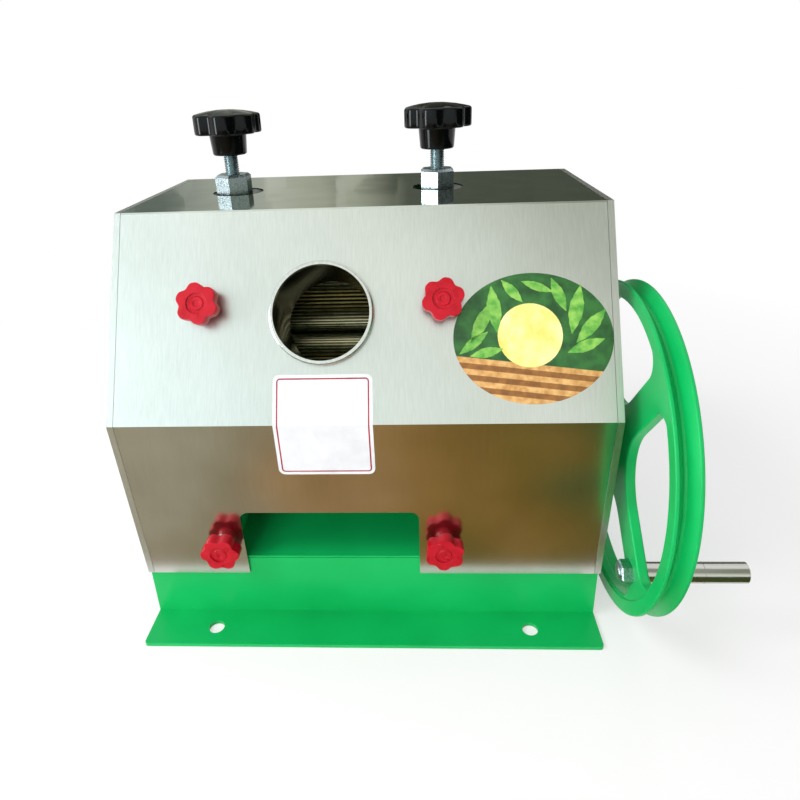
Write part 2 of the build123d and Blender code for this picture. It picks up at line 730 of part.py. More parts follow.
for side_name, x in (("left", frame_left_x), ("right", frame_right_x)):
    with BuildPart() as adjusting_screw:
        with BuildSketch(Plane.XY.offset(socket_floor)):
            with Locations((x, 0)):
                Circle(screw_diameter / 2)
        extrude(amount=knob_bottom + knob_hub_height - socket_floor)
    adjusting_screw.part.label = f"adjusting_screw_{side_name}"
    export_step(adjusting_screw.part, f"parts/adjusting_screw_{side_name}.step")

    cap_bottom = knob_bottom + knob_hub_height
    with BuildPart() as star_knob:
        with BuildSketch(Plane.XY.offset(cap_bottom)):
            with Locations((x, 0)):
                Circle(knob_diameter / 2)
                with PolarLocations(knob_diameter / 2 + knob_scallop_out, knob_lobes, 90):
                    Circle(knob_scallop, mode=Mode.SUBTRACT)
        extrude(amount=knob_cap_height + knob_dome)
        dome_radius = ((knob_diameter / 2) ** 2 + knob_dome**2) / (2 * knob_dome)
        dome_centre = cap_bottom + knob_cap_height + knob_dome - dome_radius
        with BuildSketch(Plane(origin=(x, 0, 0), x_dir=(1, 0, 0), z_dir=(0, -1, 0))):
            with Locations((0, dome_centre)):
                Circle(dome_radius)
                Rectangle(dome_radius, 2 * dome_radius, align=(Align.MAX, Align.CENTER), mode=Mode.SUBTRACT)
        revolve(axis=Axis((x, 0, 0), (0, 0, 1)), mode=Mode.INTERSECT)
        with BuildSketch(Plane.XY.offset(knob_bottom)):
            with Locations((x, 0)):
                Circle(knob_hub_bottom_diameter / 2)
        with BuildSketch(Plane.XY.offset(cap_bottom)):
            with Locations((x, 0)):
                Circle(knob_hub_top_diameter / 2)
        loft()
        with BuildSketch(Plane.XY.offset(knob_bottom)):
            with Locations((x, 0)):
                Circle(screw_diameter / 2)
        extrude(amount=knob_hub_height, mode=Mode.SUBTRACT)
    star_knob.part.label = f"star_knob_{side_name}"
    export_step(star_knob.part, f"parts/star_knob_{side_name}.step")

# ---- rollers, shafts and gears ----------------------------------------------------------
front_to_top = degrees(atan2(top_roller_z - bottom_roller_z, -front_roller_y))
top_to_rear = -front_to_top
front_turn = front_to_top
top_turn = meshing_turn(roller_gear_teeth, front_turn, front_to_top, roller_gear_teeth)
rear_turn = meshing_turn(roller_gear_teeth, top_turn, top_to_rear, roller_gear_teeth)
rollers = {
    "top": (0.0, top_roller_z, top_turn, roller_gear_end),
    "front": (front_roller_y, bottom_roller_z, front_turn, outboard_end + bush_flange_width),
    "rear": (rear_roller_y, bottom_roller_z, rear_turn, roller_gear_end),
}
drum_start = inside_left + roller_end_gap
drum_length = inside_right - inside_left - 2 * roller_end_gap
shaft_start = outside_left - shaft_left_tail

for roller_name, (y, z, turn, shaft_end) in rollers.items():
    with BuildPart() as roller:
        with BuildSketch(along_x(drum_start, y, z)):
            with BuildLine():
                Polyline(*flute_outline(), close=True)
            make_face()
            Circle(shaft_diameter / 2 + seat_clearance, mode=Mode.SUBTRACT)
        extrude(amount=drum_length)
    roller.part.label = f"{roller_name}_roller"
    export_step(roller.part, f"parts/{roller_name}_roller.step")

    with BuildPart() as roller_shaft:
        with BuildSketch(along_x(shaft_start, y, z)):
            Circle(shaft_diameter / 2)
        extrude(amount=shaft_end - shaft_start)
        chamfer(roller_shaft.edges().filter_by(GeomType.CIRCLE), shaft_chamfer)
    roller_shaft.part.label = f"{roller_name}_roller_shaft"
    export_step(roller_shaft.part, f"parts/{roller_name}_roller_shaft.step")

    with BuildPart() as roller_gear:
        with BuildSketch(along_x(roller_gear_start, y, z)):
            with BuildLine():
                Polyline(
                    *gear_outline(
                        roller_gear_teeth, roller_gear_module, roller_gear_slack, roller_gear_module, turn
                    ),
                    close=True,
                )
            make_face()
            Circle(shaft_diameter / 2 + seat_clearance, mode=Mode.SUBTRACT)
        extrude(amount=roller_gear_width)
    roller_gear.part.label = f"{roller_name}_roller_gear"
    export_step(roller_gear.part, f"parts/{roller_name}_roller_gear.step")

# ---- drive gear and pinion --------------------------------------------------------------
to_pinion = degrees(atan2(input_z - bottom_roller_z, input_y - front_roller_y))
pinion_turn = meshing_turn(drive_teeth, to_pinion, to_pinion, pinion_teeth)
pinion_start = drive_gear_start - (pinion_width - drive_gear_width) / 2

with BuildPart() as drive_gear:
    with BuildSketch(along_x(drive_gear_start, front_roller_y, bottom_roller_z)):
        with BuildLine():
            Polyline(
                *gear_outline(drive_teeth, drive_module, drive_slack, drive_tip * drive_module, to_pinion),
                close=True,
            )
        make_face()
        Circle(shaft_diameter / 2 + seat_clearance, mode=Mode.SUBTRACT)
    extrude(amount=drive_gear_width)
drive_gear.part.label = "drive_gear"
export_step(drive_gear.part, "parts/drive_gear.step")

with BuildPart() as pinion:
    with BuildSketch(along_x(pinion_start, input_y, input_z)):
        with BuildLine():
            Polyline(
                *gear_outline(pinion_teeth, drive_module, drive_slack, drive_module, pinion_turn),
                close=True,
            )
        make_face()
        Circle(input_diameter / 2 + seat_clearance, mode=Mode.SUBTRACT)
    extrude(amount=pinion_width)
pinion.part.label = "pinion"
export_step(pinion.part, "parts/pinion.step")

# ---- outboard plate on its spacers ------------------------------------------------------
with BuildPart() as outboard_plate:
    with BuildSketch(Plane.YZ.offset(outboard_start)):
        with Locations(*spacer_places):
            Circle(outboard_margin)
        make_hull()
        with Locations(*spacer_places):
            Circle(spacer_bolt_diameter / 2, mode=Mode.SUBTRACT)
        with Locations((input_y, input_z)):
            Circle(input_bush_outer, mode=Mode.SUBTRACT)
        with Locations((front_roller_y, bottom_roller_z)):
            Circle(bush_outer, mode=Mode.SUBTRACT)
    extrude(amount=outboard_thickness)
outboard_plate.part.label = "outboard_plate"
export_step(outboard_plate.part, "parts/outboard_plate.step")

with BuildPart() as outboard_spacers:
    for y, z in spacer_places:
        with BuildSketch(along_x(outside_right, y, z)):
            Circle(spacer_diameter / 2)
            Circle(spacer_bolt_diameter / 2, mode=Mode.SUBTRACT)
        extrude(amount=outboard_gap)
outboard_spacers.part.label = "outboard_spacers"
export_step(outboard_spacers.part, "parts/outboard_spacers.step")

with BuildPart() as outboard_bolts:
    for y, z in spacer_places:
        add(
            hex_bolt(
                (outboard_end, y, z),
                (-1, 0, 0),
                spacer_bolt_diameter / 2,
                outboard_thickness + outboard_gap + frame_thickness,
                bolt_head_across_flats,
                bolt_head_height,
            )
        )
outboard_bolts.part.label = "outboard_bolts"
export_step(outboard_bolts.part, "parts/outboard_bolts.step")

# ---- input shaft, handwheel and its fixings ---------------------------------------------
web_end = web_start + web_thickness
nut_face = web_end + washer_thickness
shaft_tip = nut_face + wheel_nut_height + shaft_tail

with BuildPart() as input_shaft:
    with BuildSketch(along_x(inside_right, input_y, input_z)):
        Circle(input_diameter / 2)
    extrude(amount=web_end - inside_right)
    with BuildSketch(Plane.XY.offset(input_z + input_diameter / 2)):
        with Locations(((hub_start + web_end) / 2, input_y)):
            Rectangle(web_end - hub_start, key_width)
    extrude(amount=-key_depth, mode=Mode.SUBTRACT)
    with BuildSketch(along_x(web_end, input_y, input_z)):
        Circle(shaft_thread_diameter / 2)
    extrude(amount=shaft_tip - web_end)
    chamfer(input_shaft.edges().filter_by(GeomType.CIRCLE).sort_by(Axis.X)[-1], shaft_chamfer)
input_shaft.part.label = "input_shaft"
export_step(input_shaft.part, "parts/input_shaft.step")

with BuildPart() as wheel_key:
    with BuildSketch(Plane.XY.offset(input_z + input_diameter / 2 - key_depth)):
        with Locations(((hub_start + web_end) / 2, input_y)):
            Rectangle(web_end - hub_start, key_width)
    extrude(amount=2 * key_depth)
wheel_key.part.label = "wheel_key"
export_step(wheel_key.part, "parts/wheel_key.step")

crank_y = input_y - crank_radius * cos(radians(crank_angle))
crank_z = input_z + crank_radius * sin(radians(crank_angle))
window_radius = wheel_rim_inner_radius - window_rim_gap


def from_wheel_axis(place):
    return sqrt((place.Y - input_y) ** 2 + (place.Z - input_z) ** 2)



with BuildPart() as handwheel:
    with BuildSketch(Plane(origin=(0, input_y, input_z), x_dir=(1, 0, 0), z_dir=(0, -1, 0))) as rim:
        rim_middle = (wheel_inner_face + wheel_outer_face) / 2
        with BuildLine():
            Polyline(
                (wheel_inner_face, wheel_rim_inner_radius),
                (wheel_inner_face, wheel_radius),
                (wheel_inner_face + flange_tip, wheel_radius),
                (rim_middle - groove_floor, groove_radius),
                (rim_middle + groove_floor, groove_radius),
                (wheel_outer_face - flange_tip, wheel_radius),
                (wheel_outer_face, wheel_radius),
                (wheel_outer_face, wheel_rim_inner_radius),
                close=True,
            )
        make_face()
        fillet(rim.vertices().group_by(Axis.Z)[-1], rim_round)
    revolve(axis=Axis((0, input_y, input_z), (1, 0, 0)))
    with BuildSketch(along_x(web_start, input_y, input_z)):
        Circle(wheel_rim_inner_radius + web_overlap)
    extrude(amount=web_thickness)
    with BuildSketch(along_x(web_start, input_y, input_z)) as windows:
        Circle(window_radius)
        halfway = window_radius / 2
        with PolarLocations(halfway, spoke_count, 180 - spoke_angle):
            Rectangle(window_radius, spoke_width, mode=Mode.SUBTRACT)
        inner_corners = windows.vertices().filter_by(lambda v: sqrt(v.X**2 + v.Y**2) < halfway)
        fillet(inner_corners, window_hub_corner)
        outer_corners = windows.vertices().filter_by(
            lambda v: sqrt(v.X**2 + v.Y**2) > window_radius - web_overlap
        )
        fillet(outer_corners, window_rim_corner)
    extrude(amount=web_thickness, mode=Mode.SUBTRACT)
    window_edges = handwheel.edges().filter_by(Plane.YZ).filter_by(
        lambda e: from_wheel_axis(e @ 0.5) < window_radius + window_rim_gap / 2
    )
    fillet(window_edges, window_edge_round)
    with BuildSketch(along_x(hub_start, input_y, input_z)):
        Circle(hub_diameter / 2)
    extrude(amount=web_end - hub_start)
    with BuildSketch(along_x(hub_start, input_y, input_z)):
        Circle(input_diameter / 2 + seat_clearance)
    extrude(amount=web_end - hub_start, mode=Mode.SUBTRACT)
    with BuildSketch(Plane.XY.offset(input_z)):
        with Locations(((hub_start + web_end) / 2, input_y)):
            Rectangle(web_end - hub_start, key_width)
    extrude(amount=input_diameter / 2 + key_depth, mode=Mode.SUBTRACT)
    with BuildSketch(along_x(web_start, crank_y, crank_z)):
        Circle(crank_bolt_diameter / 2 + seat_clearance)
    extrude(amount=web_thickness, mode=Mode.SUBTRACT)
handwheel.part.label = "handwheel"
export_step(handwheel.part, "parts/handwheel.step")

with BuildPart() as wheel_washer:
    with BuildSketch(along_x(web_end, input_y, input_z)):
        Circle(wheel_washer_diameter / 2)
        Circle(shaft_thread_diameter / 2 + seat_clearance, mode=Mode.SUBTRACT)
    extrude(amount=washer_thickness)
wheel_washer.part.label = "wheel_washer"
export_step(wheel_washer.part, "parts/wheel_washer.step")

with BuildPart() as wheel_nut:
    with BuildSketch(along_x(nut_face, input_y, input_z)):
        RegularPolygon(wheel_nut_across_flats / 2, 6, major_radius=False)
        Circle(shaft_thread_diameter / 2 + seat_clearance, mode=Mode.SUBTRACT)
    extrude(amount=wheel_nut_height)
    chamfer(wheel_nut.faces().sort_by(Axis.X)[-1].edges().filter_by(GeomType.LINE), nut_chamfer)
wheel_nut.part.label = "wheel_nut"
export_step(wheel_nut.part, "parts/wheel_nut.step")

# ---- crank: bolt through the spoke, nut on the case side, free-turning grip -------------
grip_start = web_end + grip_start_gap
grip_end = grip_start + grip_length
nut_outer = web_start - crank_nut_height
head_start = grip_end - grip_head_height - grip_head_recess

with BuildPart() as crank_bolt:
    with BuildSketch(along_x(nut_outer - crank_bolt_stand, crank_y, crank_z)):
        Circle(crank_bolt_diameter / 2)
    extrude(amount=head_start - nut_outer + crank_bolt_stand)
    with BuildSketch(along_x(head_start, crank_y, crank_z)):
        Circle(grip_head_diameter / 2)
    extrude(amount=grip_head_height)
    with BuildSketch(along_x(web_end, crank_y, crank_z)):
        Circle(crank_collar_diameter / 2)
    extrude(amount=grip_start_gap - grip_head_clearance)
    fillet(crank_bolt.edges().filter_by(GeomType.CIRCLE).sort_by(Axis.X)[0], crank_bolt_round)
crank_bolt.part.label = "crank_bolt"
export_step(crank_bolt.part, "parts/crank_bolt.step")

with BuildPart() as crank_nut:
    with BuildSketch(along_x(nut_outer, crank_y, crank_z)):
        RegularPolygon(crank_nut_across_flats / 2, 6, major_radius=False)
        Circle(crank_bolt_diameter / 2, mode=Mode.SUBTRACT)
    extrude(amount=crank_nut_height)
    chamfer(crank_nut.faces().sort_by(Axis.X)[0].edges().filter_by(GeomType.LINE), nut_chamfer)
crank_nut.part.label = "crank_nut"
export_step(crank_nut.part, "parts/crank_nut.step")

with BuildPart() as crank_grip:
    with BuildSketch(along_x(grip_start, crank_y, crank_z)):
        Circle(grip_diameter / 2)
        Circle(crank_bolt_diameter / 2 + running_clearance, mode=Mode.SUBTRACT)
    extrude(amount=grip_length)
    with BuildSketch(along_x(head_start - grip_head_clearance, crank_y, crank_z)):
        Circle(grip_head_diameter / 2 + running_clearance)
    extrude(amount=grip_end - head_start + grip_head_clearance, mode=Mode.SUBTRACT)
    with BuildSketch(along_x((grip_start + grip_end) / 2 + grip_groove_place, crank_y, crank_z)):
        Circle(grip_diameter / 2)
        Circle(grip_diameter / 2 - grip_groove, mode=Mode.SUBTRACT)
    extrude(amount=grip_groove, mode=Mode.SUBTRACT)
    chamfer(crank_grip.edges().filter_by(GeomType.CIRCLE).sort_by(Axis.X)[-1], grip_chamfer)
crank_grip.part.label = "crank_grip"
export_step(crank_grip.part, "parts/crank_grip.step")

# ---- thumb screws: lobed heads on studs, each with its own washer -----------------------
for thumb_name, plane in thumb_planes.items():
    with BuildPart() as washer:
        with BuildSketch(plane):
            Circle(thumb_washer_diameter / 2)
            Circle(thumb_stud_diameter / 2 + running_clearance, mode=Mode.SUBTRACT)
        extrude(amount=thumb_washer)
    washer.part.label = f"thumb_washer_{thumb_name}"
    export_step(washer.part, f"parts/thumb_washer_{thumb_name}.step")

    neck_start = thumb_washer + thumb_washer_gap
    head_bottom = neck_start + thumb_neck
    with BuildPart() as thumb_screw:
        with BuildSketch(plane.offset(head_bottom)):
            Circle(thumb_diameter / 2)
            with PolarLocations(
                thumb_diameter / 2 + thumb_scallop_out, thumb_lobes, thumb_turns[thumb_name]
            ):
                Circle(thumb_scallop, mode=Mode.SUBTRACT)
        extrude(amount=thumb_head)
        face_edges = thumb_screw.faces().sort_by(Axis(plane.origin, plane.z_dir))[-1].edges()
        fillet(face_edges, thumb_edge_round)
        with BuildSketch(plane.offset(head_bottom + thumb_head)):
            Circle(thumb_recess_diameter / 2)
        extrude(amount=-thumb_recess_depth, mode=Mode.SUBTRACT)
        with BuildSketch(plane.offset(neck_start)):
            Circle(thumb_neck_diameter / 2)
        extrude(amount=thumb_neck)
        with BuildSketch(plane.offset(neck_start)):
            Circle(thumb_stud_diameter / 2)
        extrude(amount=-(neck_start + sheet + standoff_length - stud_end_gap))
    thumb_screw.part.label = f"thumb_screw_{thumb_name}"
    export_step(thumb_screw.part, f"parts/thumb_screw_{thumb_name}.step")

# ---- juice tray: slopes to the notch, rests on the base's front wall and the lower tie --
tray_width = inside_right - inside_left - 2 * tray_side_gap
tray_rise = tan(tray_slope)


def tray_z(y):
    return tray_front_height + (y + base_half_depth) * tray_rise


tray_down = tray_sheet / cos(tray_slope)
front_y = -base_half_depth
with BuildPart() as juice_tray:
    with BuildSketch(Plane.YZ.offset(inside_left + tray_side_gap)):
        with BuildLine():
            Polyline(
                (front_y, tray_z(front_y)),
                (tray_rear_y, tray_z(tray_rear_y)),
                (tray_rear_y, tray_z(tray_rear_y) + tray_wall),
                (front_y + tray_taper, tray_z(front_y + tray_taper) + tray_wall),
                close=True,
            )
        make_face()
    extrude(amount=tray_width)
    with BuildSketch(Plane.YZ.offset(inside_left + tray_side_gap)):
        with BuildLine():
            Polyline(
                (front_y, tray_z(front_y)),
                (tray_rear_y, tray_z(tray_rear_y)),
                (tray_rear_y, tray_z(tray_rear_y) - tray_down),
                (front_y, tray_z(front_y) - tray_down),
                close=True,
            )
        make_face()
    extrude(amount=tray_width)
    with BuildSketch(Plane.YZ.offset(inside_left + tray_side_gap + tray_sheet)):
        with BuildLine():
            Polyline(
                (front_y, tray_z(front_y)),
                (tray_rear_y - tray_sheet, tray_z(tray_rear_y - tray_sheet)),
                (tray_rear_y - tray_sheet, tray_z(tray_rear_y) + 2 * tray_wall),
                (front_y, tray_z(front_y) + 2 * tray_wall),
                close=True,
            )
        make_face()
    extrude(amount=tray_width - 2 * tray_sheet, mode=Mode.SUBTRACT)
juice_tray.part.label = "juice_tray"
export_step(juice_tray.part, "parts/juice_tray.step")

# ---- bagasse chute: from behind the rear roller out through the rear cover --------------
chute_slope = atan2(chute_start_z - chute_end_z, chute_end_y - chute_start_y)
chute_down = tray_sheet / cos(chute_slope)
cheek_end_y = lower_half_depth(chute_end_z + chute_wall, frame_inset)
cheek_end_z = chute_start_z - (cheek_end_y - chute_start_y) * tan(chute_slope)
lip_half = (inside_right - inside_left) / 2 - outlet_corner - chute_lip_gap
with BuildPart() as bagasse_chute:
    with BuildSketch(Plane.YZ.offset(inside_left)):
        with BuildLine():
            Polyline(
                (chute_start_y, chute_start_z - chute_down),
                (chute_start_y, chute_start_z + chute_wall),
                (cheek_end_y, cheek_end_z + chute_wall),
                (cheek_end_y, cheek_end_z - chute_down),
                close=True,
            )
        make_face()
    extrude(amount=inside_right - inside_left)
    with BuildSketch(Plane.YZ.offset(inside_left + tray_sheet)):
        with BuildLine():
            Polyline(
                (chute_start_y, chute_start_z),
                (chute_start_y, chute_start_z + chute_wall),
                (cheek_end_y, cheek_end_z + chute_wall),
                (cheek_end_y, cheek_end_z),
                close=True,
            )
        make_face()
    extrude(amount=inside_right - inside_left - 2 * tray_sheet, mode=Mode.SUBTRACT)
    with BuildSketch(Plane.YZ.offset(frame_centre_x - lip_half)):
        with BuildLine():
            Polyline(
                (cheek_end_y, cheek_end_z),
                (chute_end_y, chute_end_z),
                (chute_end_y, chute_end_z - chute_down),
                (cheek_end_y, cheek_end_z - chute_down),
                close=True,
            )
        make_face()
    extrude(amount=2 * lip_half)
bagasse_chute.part.label = "bagasse_chute"
export_step(bagasse_chute.part, "parts/bagasse_chute.step")

# ---- guide bar: carries the crushed cane from the front nip to the rear nip -------------
guide_top = top_roller_z - roller_diameter / 2 - guide_bar_gap
with BuildPart() as guide_bar:
    with BuildSketch(Plane.YZ.offset(inside_left)):
        with BuildLine():
            Polyline(
                (-guide_bar_width / 2, guide_top),
                (guide_bar_width / 2, guide_top),
                (guide_bar_stem / 2, guide_top - guide_bar_flare),
                (guide_bar_stem / 2, bottom_roller_z - guide_bar_foot),
                (-guide_bar_stem / 2, bottom_roller_z - guide_bar_foot),
                (-guide_bar_stem / 2, guide_top - guide_bar_flare),
                close=True,
            )
        make_face()
        for y in (front_roller_y, rear_roller_y):
            with Locations((y, bottom_roller_z)):
                Circle(roller_diameter / 2 + guide_bar_gap, mode=Mode.SUBTRACT)
    extrude(amount=inside_right - inside_left)
guide_bar.part.label = "guide_bar"
export_step(guide_bar.part, "parts/guide_bar.step")
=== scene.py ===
from math import atan2, cos, degrees, pi, radians, sin, tan

import bpy
from mathutils import Matrix, Vector


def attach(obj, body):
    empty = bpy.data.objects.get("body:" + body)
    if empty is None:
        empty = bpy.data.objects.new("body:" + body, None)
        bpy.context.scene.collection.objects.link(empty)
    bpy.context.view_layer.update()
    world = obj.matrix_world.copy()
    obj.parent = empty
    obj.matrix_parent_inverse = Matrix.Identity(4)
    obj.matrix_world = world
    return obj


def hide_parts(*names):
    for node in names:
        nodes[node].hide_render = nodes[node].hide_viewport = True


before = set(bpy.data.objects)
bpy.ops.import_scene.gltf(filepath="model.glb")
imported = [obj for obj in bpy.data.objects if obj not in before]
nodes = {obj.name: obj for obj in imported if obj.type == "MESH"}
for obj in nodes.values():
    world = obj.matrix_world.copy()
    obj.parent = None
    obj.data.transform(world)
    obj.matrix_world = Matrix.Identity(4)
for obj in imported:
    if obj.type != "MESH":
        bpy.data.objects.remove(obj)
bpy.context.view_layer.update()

bpy.ops.object.select_all(action="DESELECT")

mm = 0.001

# sizes shared by several pieces, in metres: the folded case and where things stand on it
case = {
    "topDepth": 166 * mm,
    "topHeight": 330.7 * mm,
    "ridgeDepth": 321.8 * mm,
    "ridgeHeight": 191.4 * mm,
    "skirtDepth": 299.4 * mm,
    "skirtHeight": 45.5 * mm,
    "frameLeft": -115 * mm,
    "frameRight": 60 * mm,
    "upperThumbHeight": 267.4 * mm,
    "lowerThumbHeight": 81 * mm,
}
upperTilt = atan2((case["ridgeDepth"] - case["topDepth"]) / 2, case["topHeight"] - case["ridgeHeight"])
lowerTilt = atan2((case["ridgeDepth"] - case["skirtDepth"]) / 2, case["ridgeHeight"] - case["skirtHeight"])


# where a screw stands across the case, by its name
def frameX(where):
    return case["frameLeft"] if "left" in where else case["frameRight"]


# the place on a front panel at a height, with Z along the panel's normal and Y up the slope
def panelMatrix(x, z, proud=0.0):
    if z > case["ridgeHeight"]:
        normal = Vector((0, -cos(upperTilt), sin(upperTilt)))
        y = -(case["topDepth"] / 2 + (case["topHeight"] - z) * tan(upperTilt))
    else:
        normal = Vector((0, -cos(lowerTilt), -sin(lowerTilt)))
        y = -(case["ridgeDepth"] / 2 - (case["ridgeHeight"] - z) * tan(lowerTilt))
    across = Vector((1, 0, 0))
    up = normal.cross(across)
    turn = Matrix((across, up, normal)).transposed().to_4x4()
    return Matrix.Translation(Vector((x, y, z)) + normal * proud) @ turn


# modelling helpers: everything is done with operators, on one selected piece
def pick(piece):
    bpy.ops.object.select_all(action="DESELECT")
    piece.select_set(True)
    bpy.context.view_layer.objects.active = piece


def selectFaces(piece, rule):
    bpy.ops.object.mode_set(mode="OBJECT")
    for vertex in piece.data.vertices:
        vertex.select = False
    for edge in piece.data.edges:
        edge.select = False
    for face in piece.data.polygons:
        face.select = rule(face)
    bpy.ops.object.mode_set(mode="EDIT")
    bpy.ops.mesh.select_mode(type="FACE")


def selectVertices(piece, rule):
    bpy.ops.object.mode_set(mode="EDIT")
    bpy.ops.mesh.select_mode(type="VERT")
    bpy.ops.mesh.select_all(action="DESELECT")
    bpy.ops.object.mode_set(mode="OBJECT")
    for vertex in piece.data.vertices:
        vertex.select = rule(vertex.co)
    bpy.ops.object.mode_set(mode="EDIT")


def shape(factor):
    bpy.ops.transform.resize(value=(factor, factor, 1), orient_type="GLOBAL", center_override=(0, 0, 0))


def pushOut(distance):
    bpy.ops.mesh.extrude_region_move(TRANSFORM_OT_translate={"value": (0, 0, distance)})


def applyAll(piece):
    pick(piece)
    for modifier in list(piece.modifiers):
        bpy.ops.object.modifier_apply(modifier=modifier.name)


def place(piece, matrix):
    pick(piece)
    piece.matrix_world = matrix
    bpy.ops.object.transform_apply(location=True, rotation=True, scale=True)


def copyOf(piece, name):
    double = piece.copy()
    double.data = piece.data.copy()
    double.name = name
    bpy.context.collection.objects.link(double)
    return double


def finishPiece(piece, material, body, slot, *replaced):
    piece.data.materials.clear()
    piece.data.materials.append(material)
    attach(piece, body)
    if replaced:
        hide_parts(*replaced)


# material helpers: sRGB hex colours are turned to linear in one place
def linear(hexColour):
    channels = [int(hexColour[i : i + 2], 16) / 255 for i in (1, 3, 5)]
    return (*[c / 12.92 if c <= 0.04045 else ((c + 0.055) / 1.055) ** 2.4 for c in channels], 1)


# how often a pattern of this size repeats in a metre
def perMetre(millimetres):
    return 1000 / millimetres


def addNode(tree, kind, settings=None, links=None):
    node = tree.nodes.new(kind)
    for name, value in (settings or {}).items():
        if isinstance(name, int) or name in node.inputs:
            node.inputs[name].default_value = value
        else:
            setattr(node, name, value)
    for name, source in (links or {}).items():
        tree.links.new(source, node.inputs[name])
    return node


def emptyMaterial(name):
    material = bpy.data.materials.new(name)
    material.use_nodes = True
    material.node_tree.nodes.clear()
    return material, material.node_tree


def newMaterial(name, settings):
    material, tree = emptyMaterial(name)
    shader = addNode(tree, "ShaderNodeBsdfPrincipled", settings)
    addNode(tree, "ShaderNodeOutputMaterial", links={"Surface": shader.outputs[0]})
    spot = addNode(tree, "ShaderNodeTexCoord").outputs["Object"]
    return material, tree, shader, spot


def ramp(tree, source, stops):
    node = addNode(tree, "ShaderNodeValToRGB", links={"Fac": source})
    elements = node.color_ramp.elements
    while len(elements) < len(stops):
        elements.new(0.5)
    for element, (position, colour) in zip(elements, stops):
        element.position = position
        element.color = linear(colour)
    return node.outputs["Color"]


def rangeOf(tree, source, low, high, fromLow=0.3, fromHigh=0.7):
    settings = {"From Min": fromLow, "From Max": fromHigh, "To Min": low, "To Max": high}
    return addNode(tree, "ShaderNodeMapRange", settings, {"Value": source}).outputs["Result"]


def noise(tree, spot, size, detail=2.0, roughness=0.5):
    settings = {"Scale": perMetre(size), "Detail": detail, "Roughness": roughness}
    return addNode(tree, "ShaderNodeTexNoise", settings, {"Vector": spot}).outputs["Fac"]


# noise drawn out along X: sizes in millimetres along it and across it
def streakNoise(tree, spot, alongX, acrossX, detail=2.0, roughness=0.5):
    scale = (perMetre(alongX), perMetre(acrossX), perMetre(acrossX))
    drawn = addNode(tree, "ShaderNodeMapping", {"Scale": scale}, {"Vector": spot}).outputs["Vector"]
    settings = {"Scale": 1.0, "Detail": detail, "Roughness": roughness}
    return addNode(tree, "ShaderNodeTexNoise", settings, {"Vector": drawn}).outputs["Fac"]


def along(tree, spot, axis):
    return addNode(tree, "ShaderNodeSeparateXYZ", links={0: spot}).outputs[axis]


def tint(tree, shader, pattern, deep, pale, low=0.3, high=0.7):
    tree.links.new(ramp(tree, pattern, [(low, deep), (high, pale)]), shader.inputs["Base Color"])


def roughen(tree, shader, pattern, low, high):
    tree.links.new(rangeOf(tree, pattern, low, high), shader.inputs["Roughness"])


# a place's distance from the origin, with some axes left out
def lengthOf(tree, spot, axes):
    kept = addNode(tree, "ShaderNodeVectorMath", {"operation": "MULTIPLY", 1: axes}, {0: spot}).outputs[0]
    return addNode(tree, "ShaderNodeVectorMath", {"operation": "LENGTH"}, {0: kept}).outputs["Value"]


# relief in millimetres
def bump(tree, shader, height, relief, strength):
    settings = {"Distance": relief * mm, "Strength": strength}
    node = addNode(tree, "ShaderNodeBump", settings, {"Height": height})
    tree.links.new(node.outputs["Normal"], shader.inputs["Normal"])


# one pattern gives colour, roughness and relief
def dress(tree, shader, pattern, look):
    tint(tree, shader, pattern, look["deep"], look["pale"])
    roughen(tree, shader, pattern, *look["roughness"])
    bump(tree, shader, pattern, look["relief"], look["strength"])


# Stainless sheet: a brushed finish, its lines running down the slope, or a finer satin that
# still mirrors softly. The real lines are about 0.1 mm apart; these are drawn wide enough to
# show as the short streaks one sees.
def stainlessSheet(name, look):
    material, tree, shader, spot = newMaterial(name, {"Metallic": 1.0})
    lines = streakNoise(tree, spot, look["lineSpacing"], look["lineLength"], 3.0, 0.6)
    clouds = noise(tree, spot, look["cloudSize"], 2.0)
    lineTint = ramp(tree, lines, [(0.3, look["dark"]), (0.7, look["pale"])])
    cloudTint = ramp(tree, clouds, [(0.3, look["cloudDark"]), (0.7, "#FFFFFF")])
    settings = {"data_type": "RGBA", "blend_type": "MULTIPLY", 0: 1.0}
    both = addNode(tree, "ShaderNodeMix", settings, {6: lineTint, 7: cloudTint})
    tree.links.new(both.outputs[2], shader.inputs["Base Color"])
    roughen(tree, shader, lines, *look["roughness"])
    bump(tree, shader, lines, look["lineHeight"], 0.5)
    return material


brushedLook = {
    "lineSpacing": 1.0,
    "lineLength": 13.0,
    "lineHeight": 0.005,
    "cloudSize": 90.0,
    "cloudDark": "#F5F6F4",
    "pale": "#E8E9E7",
    "dark": "#DEDFDC",
    "roughness": (0.30, 0.35),
}
satinLook = {
    "lineSpacing": 1.4,
    "lineLength": 30.0,
    "lineHeight": 0.002,
    "cloudSize": 60.0,
    "cloudDark": "#EDEBE6",
    "pale": "#E3E3E0",
    "dark": "#DFDFDB",
    "roughness": (0.17, 0.20),
}


# Stainless sheet polished to a mirror, still a little wavy from the press.
def polishedStainless():
    look = {
        "waveSize": 70.0,
        "waveHeight": 0.10,
        "smearSize": 25.0,
        "pale": "#DCDEDA",
        "dark": "#CED0CC",
        "roughness": (0.03, 0.10),
    }
    material, tree, shader, spot = newMaterial("polishedStainless", {"Metallic": 1.0})
    waves = noise(tree, spot, look["waveSize"], 0.0)
    smears = noise(tree, spot, look["smearSize"], 4.0)
    tint(tree, shader, smears, look["dark"], look["pale"])
    roughen(tree, shader, smears, *look["roughness"])
    bump(tree, shader, waves, look["waveHeight"], 0.6)
    return material


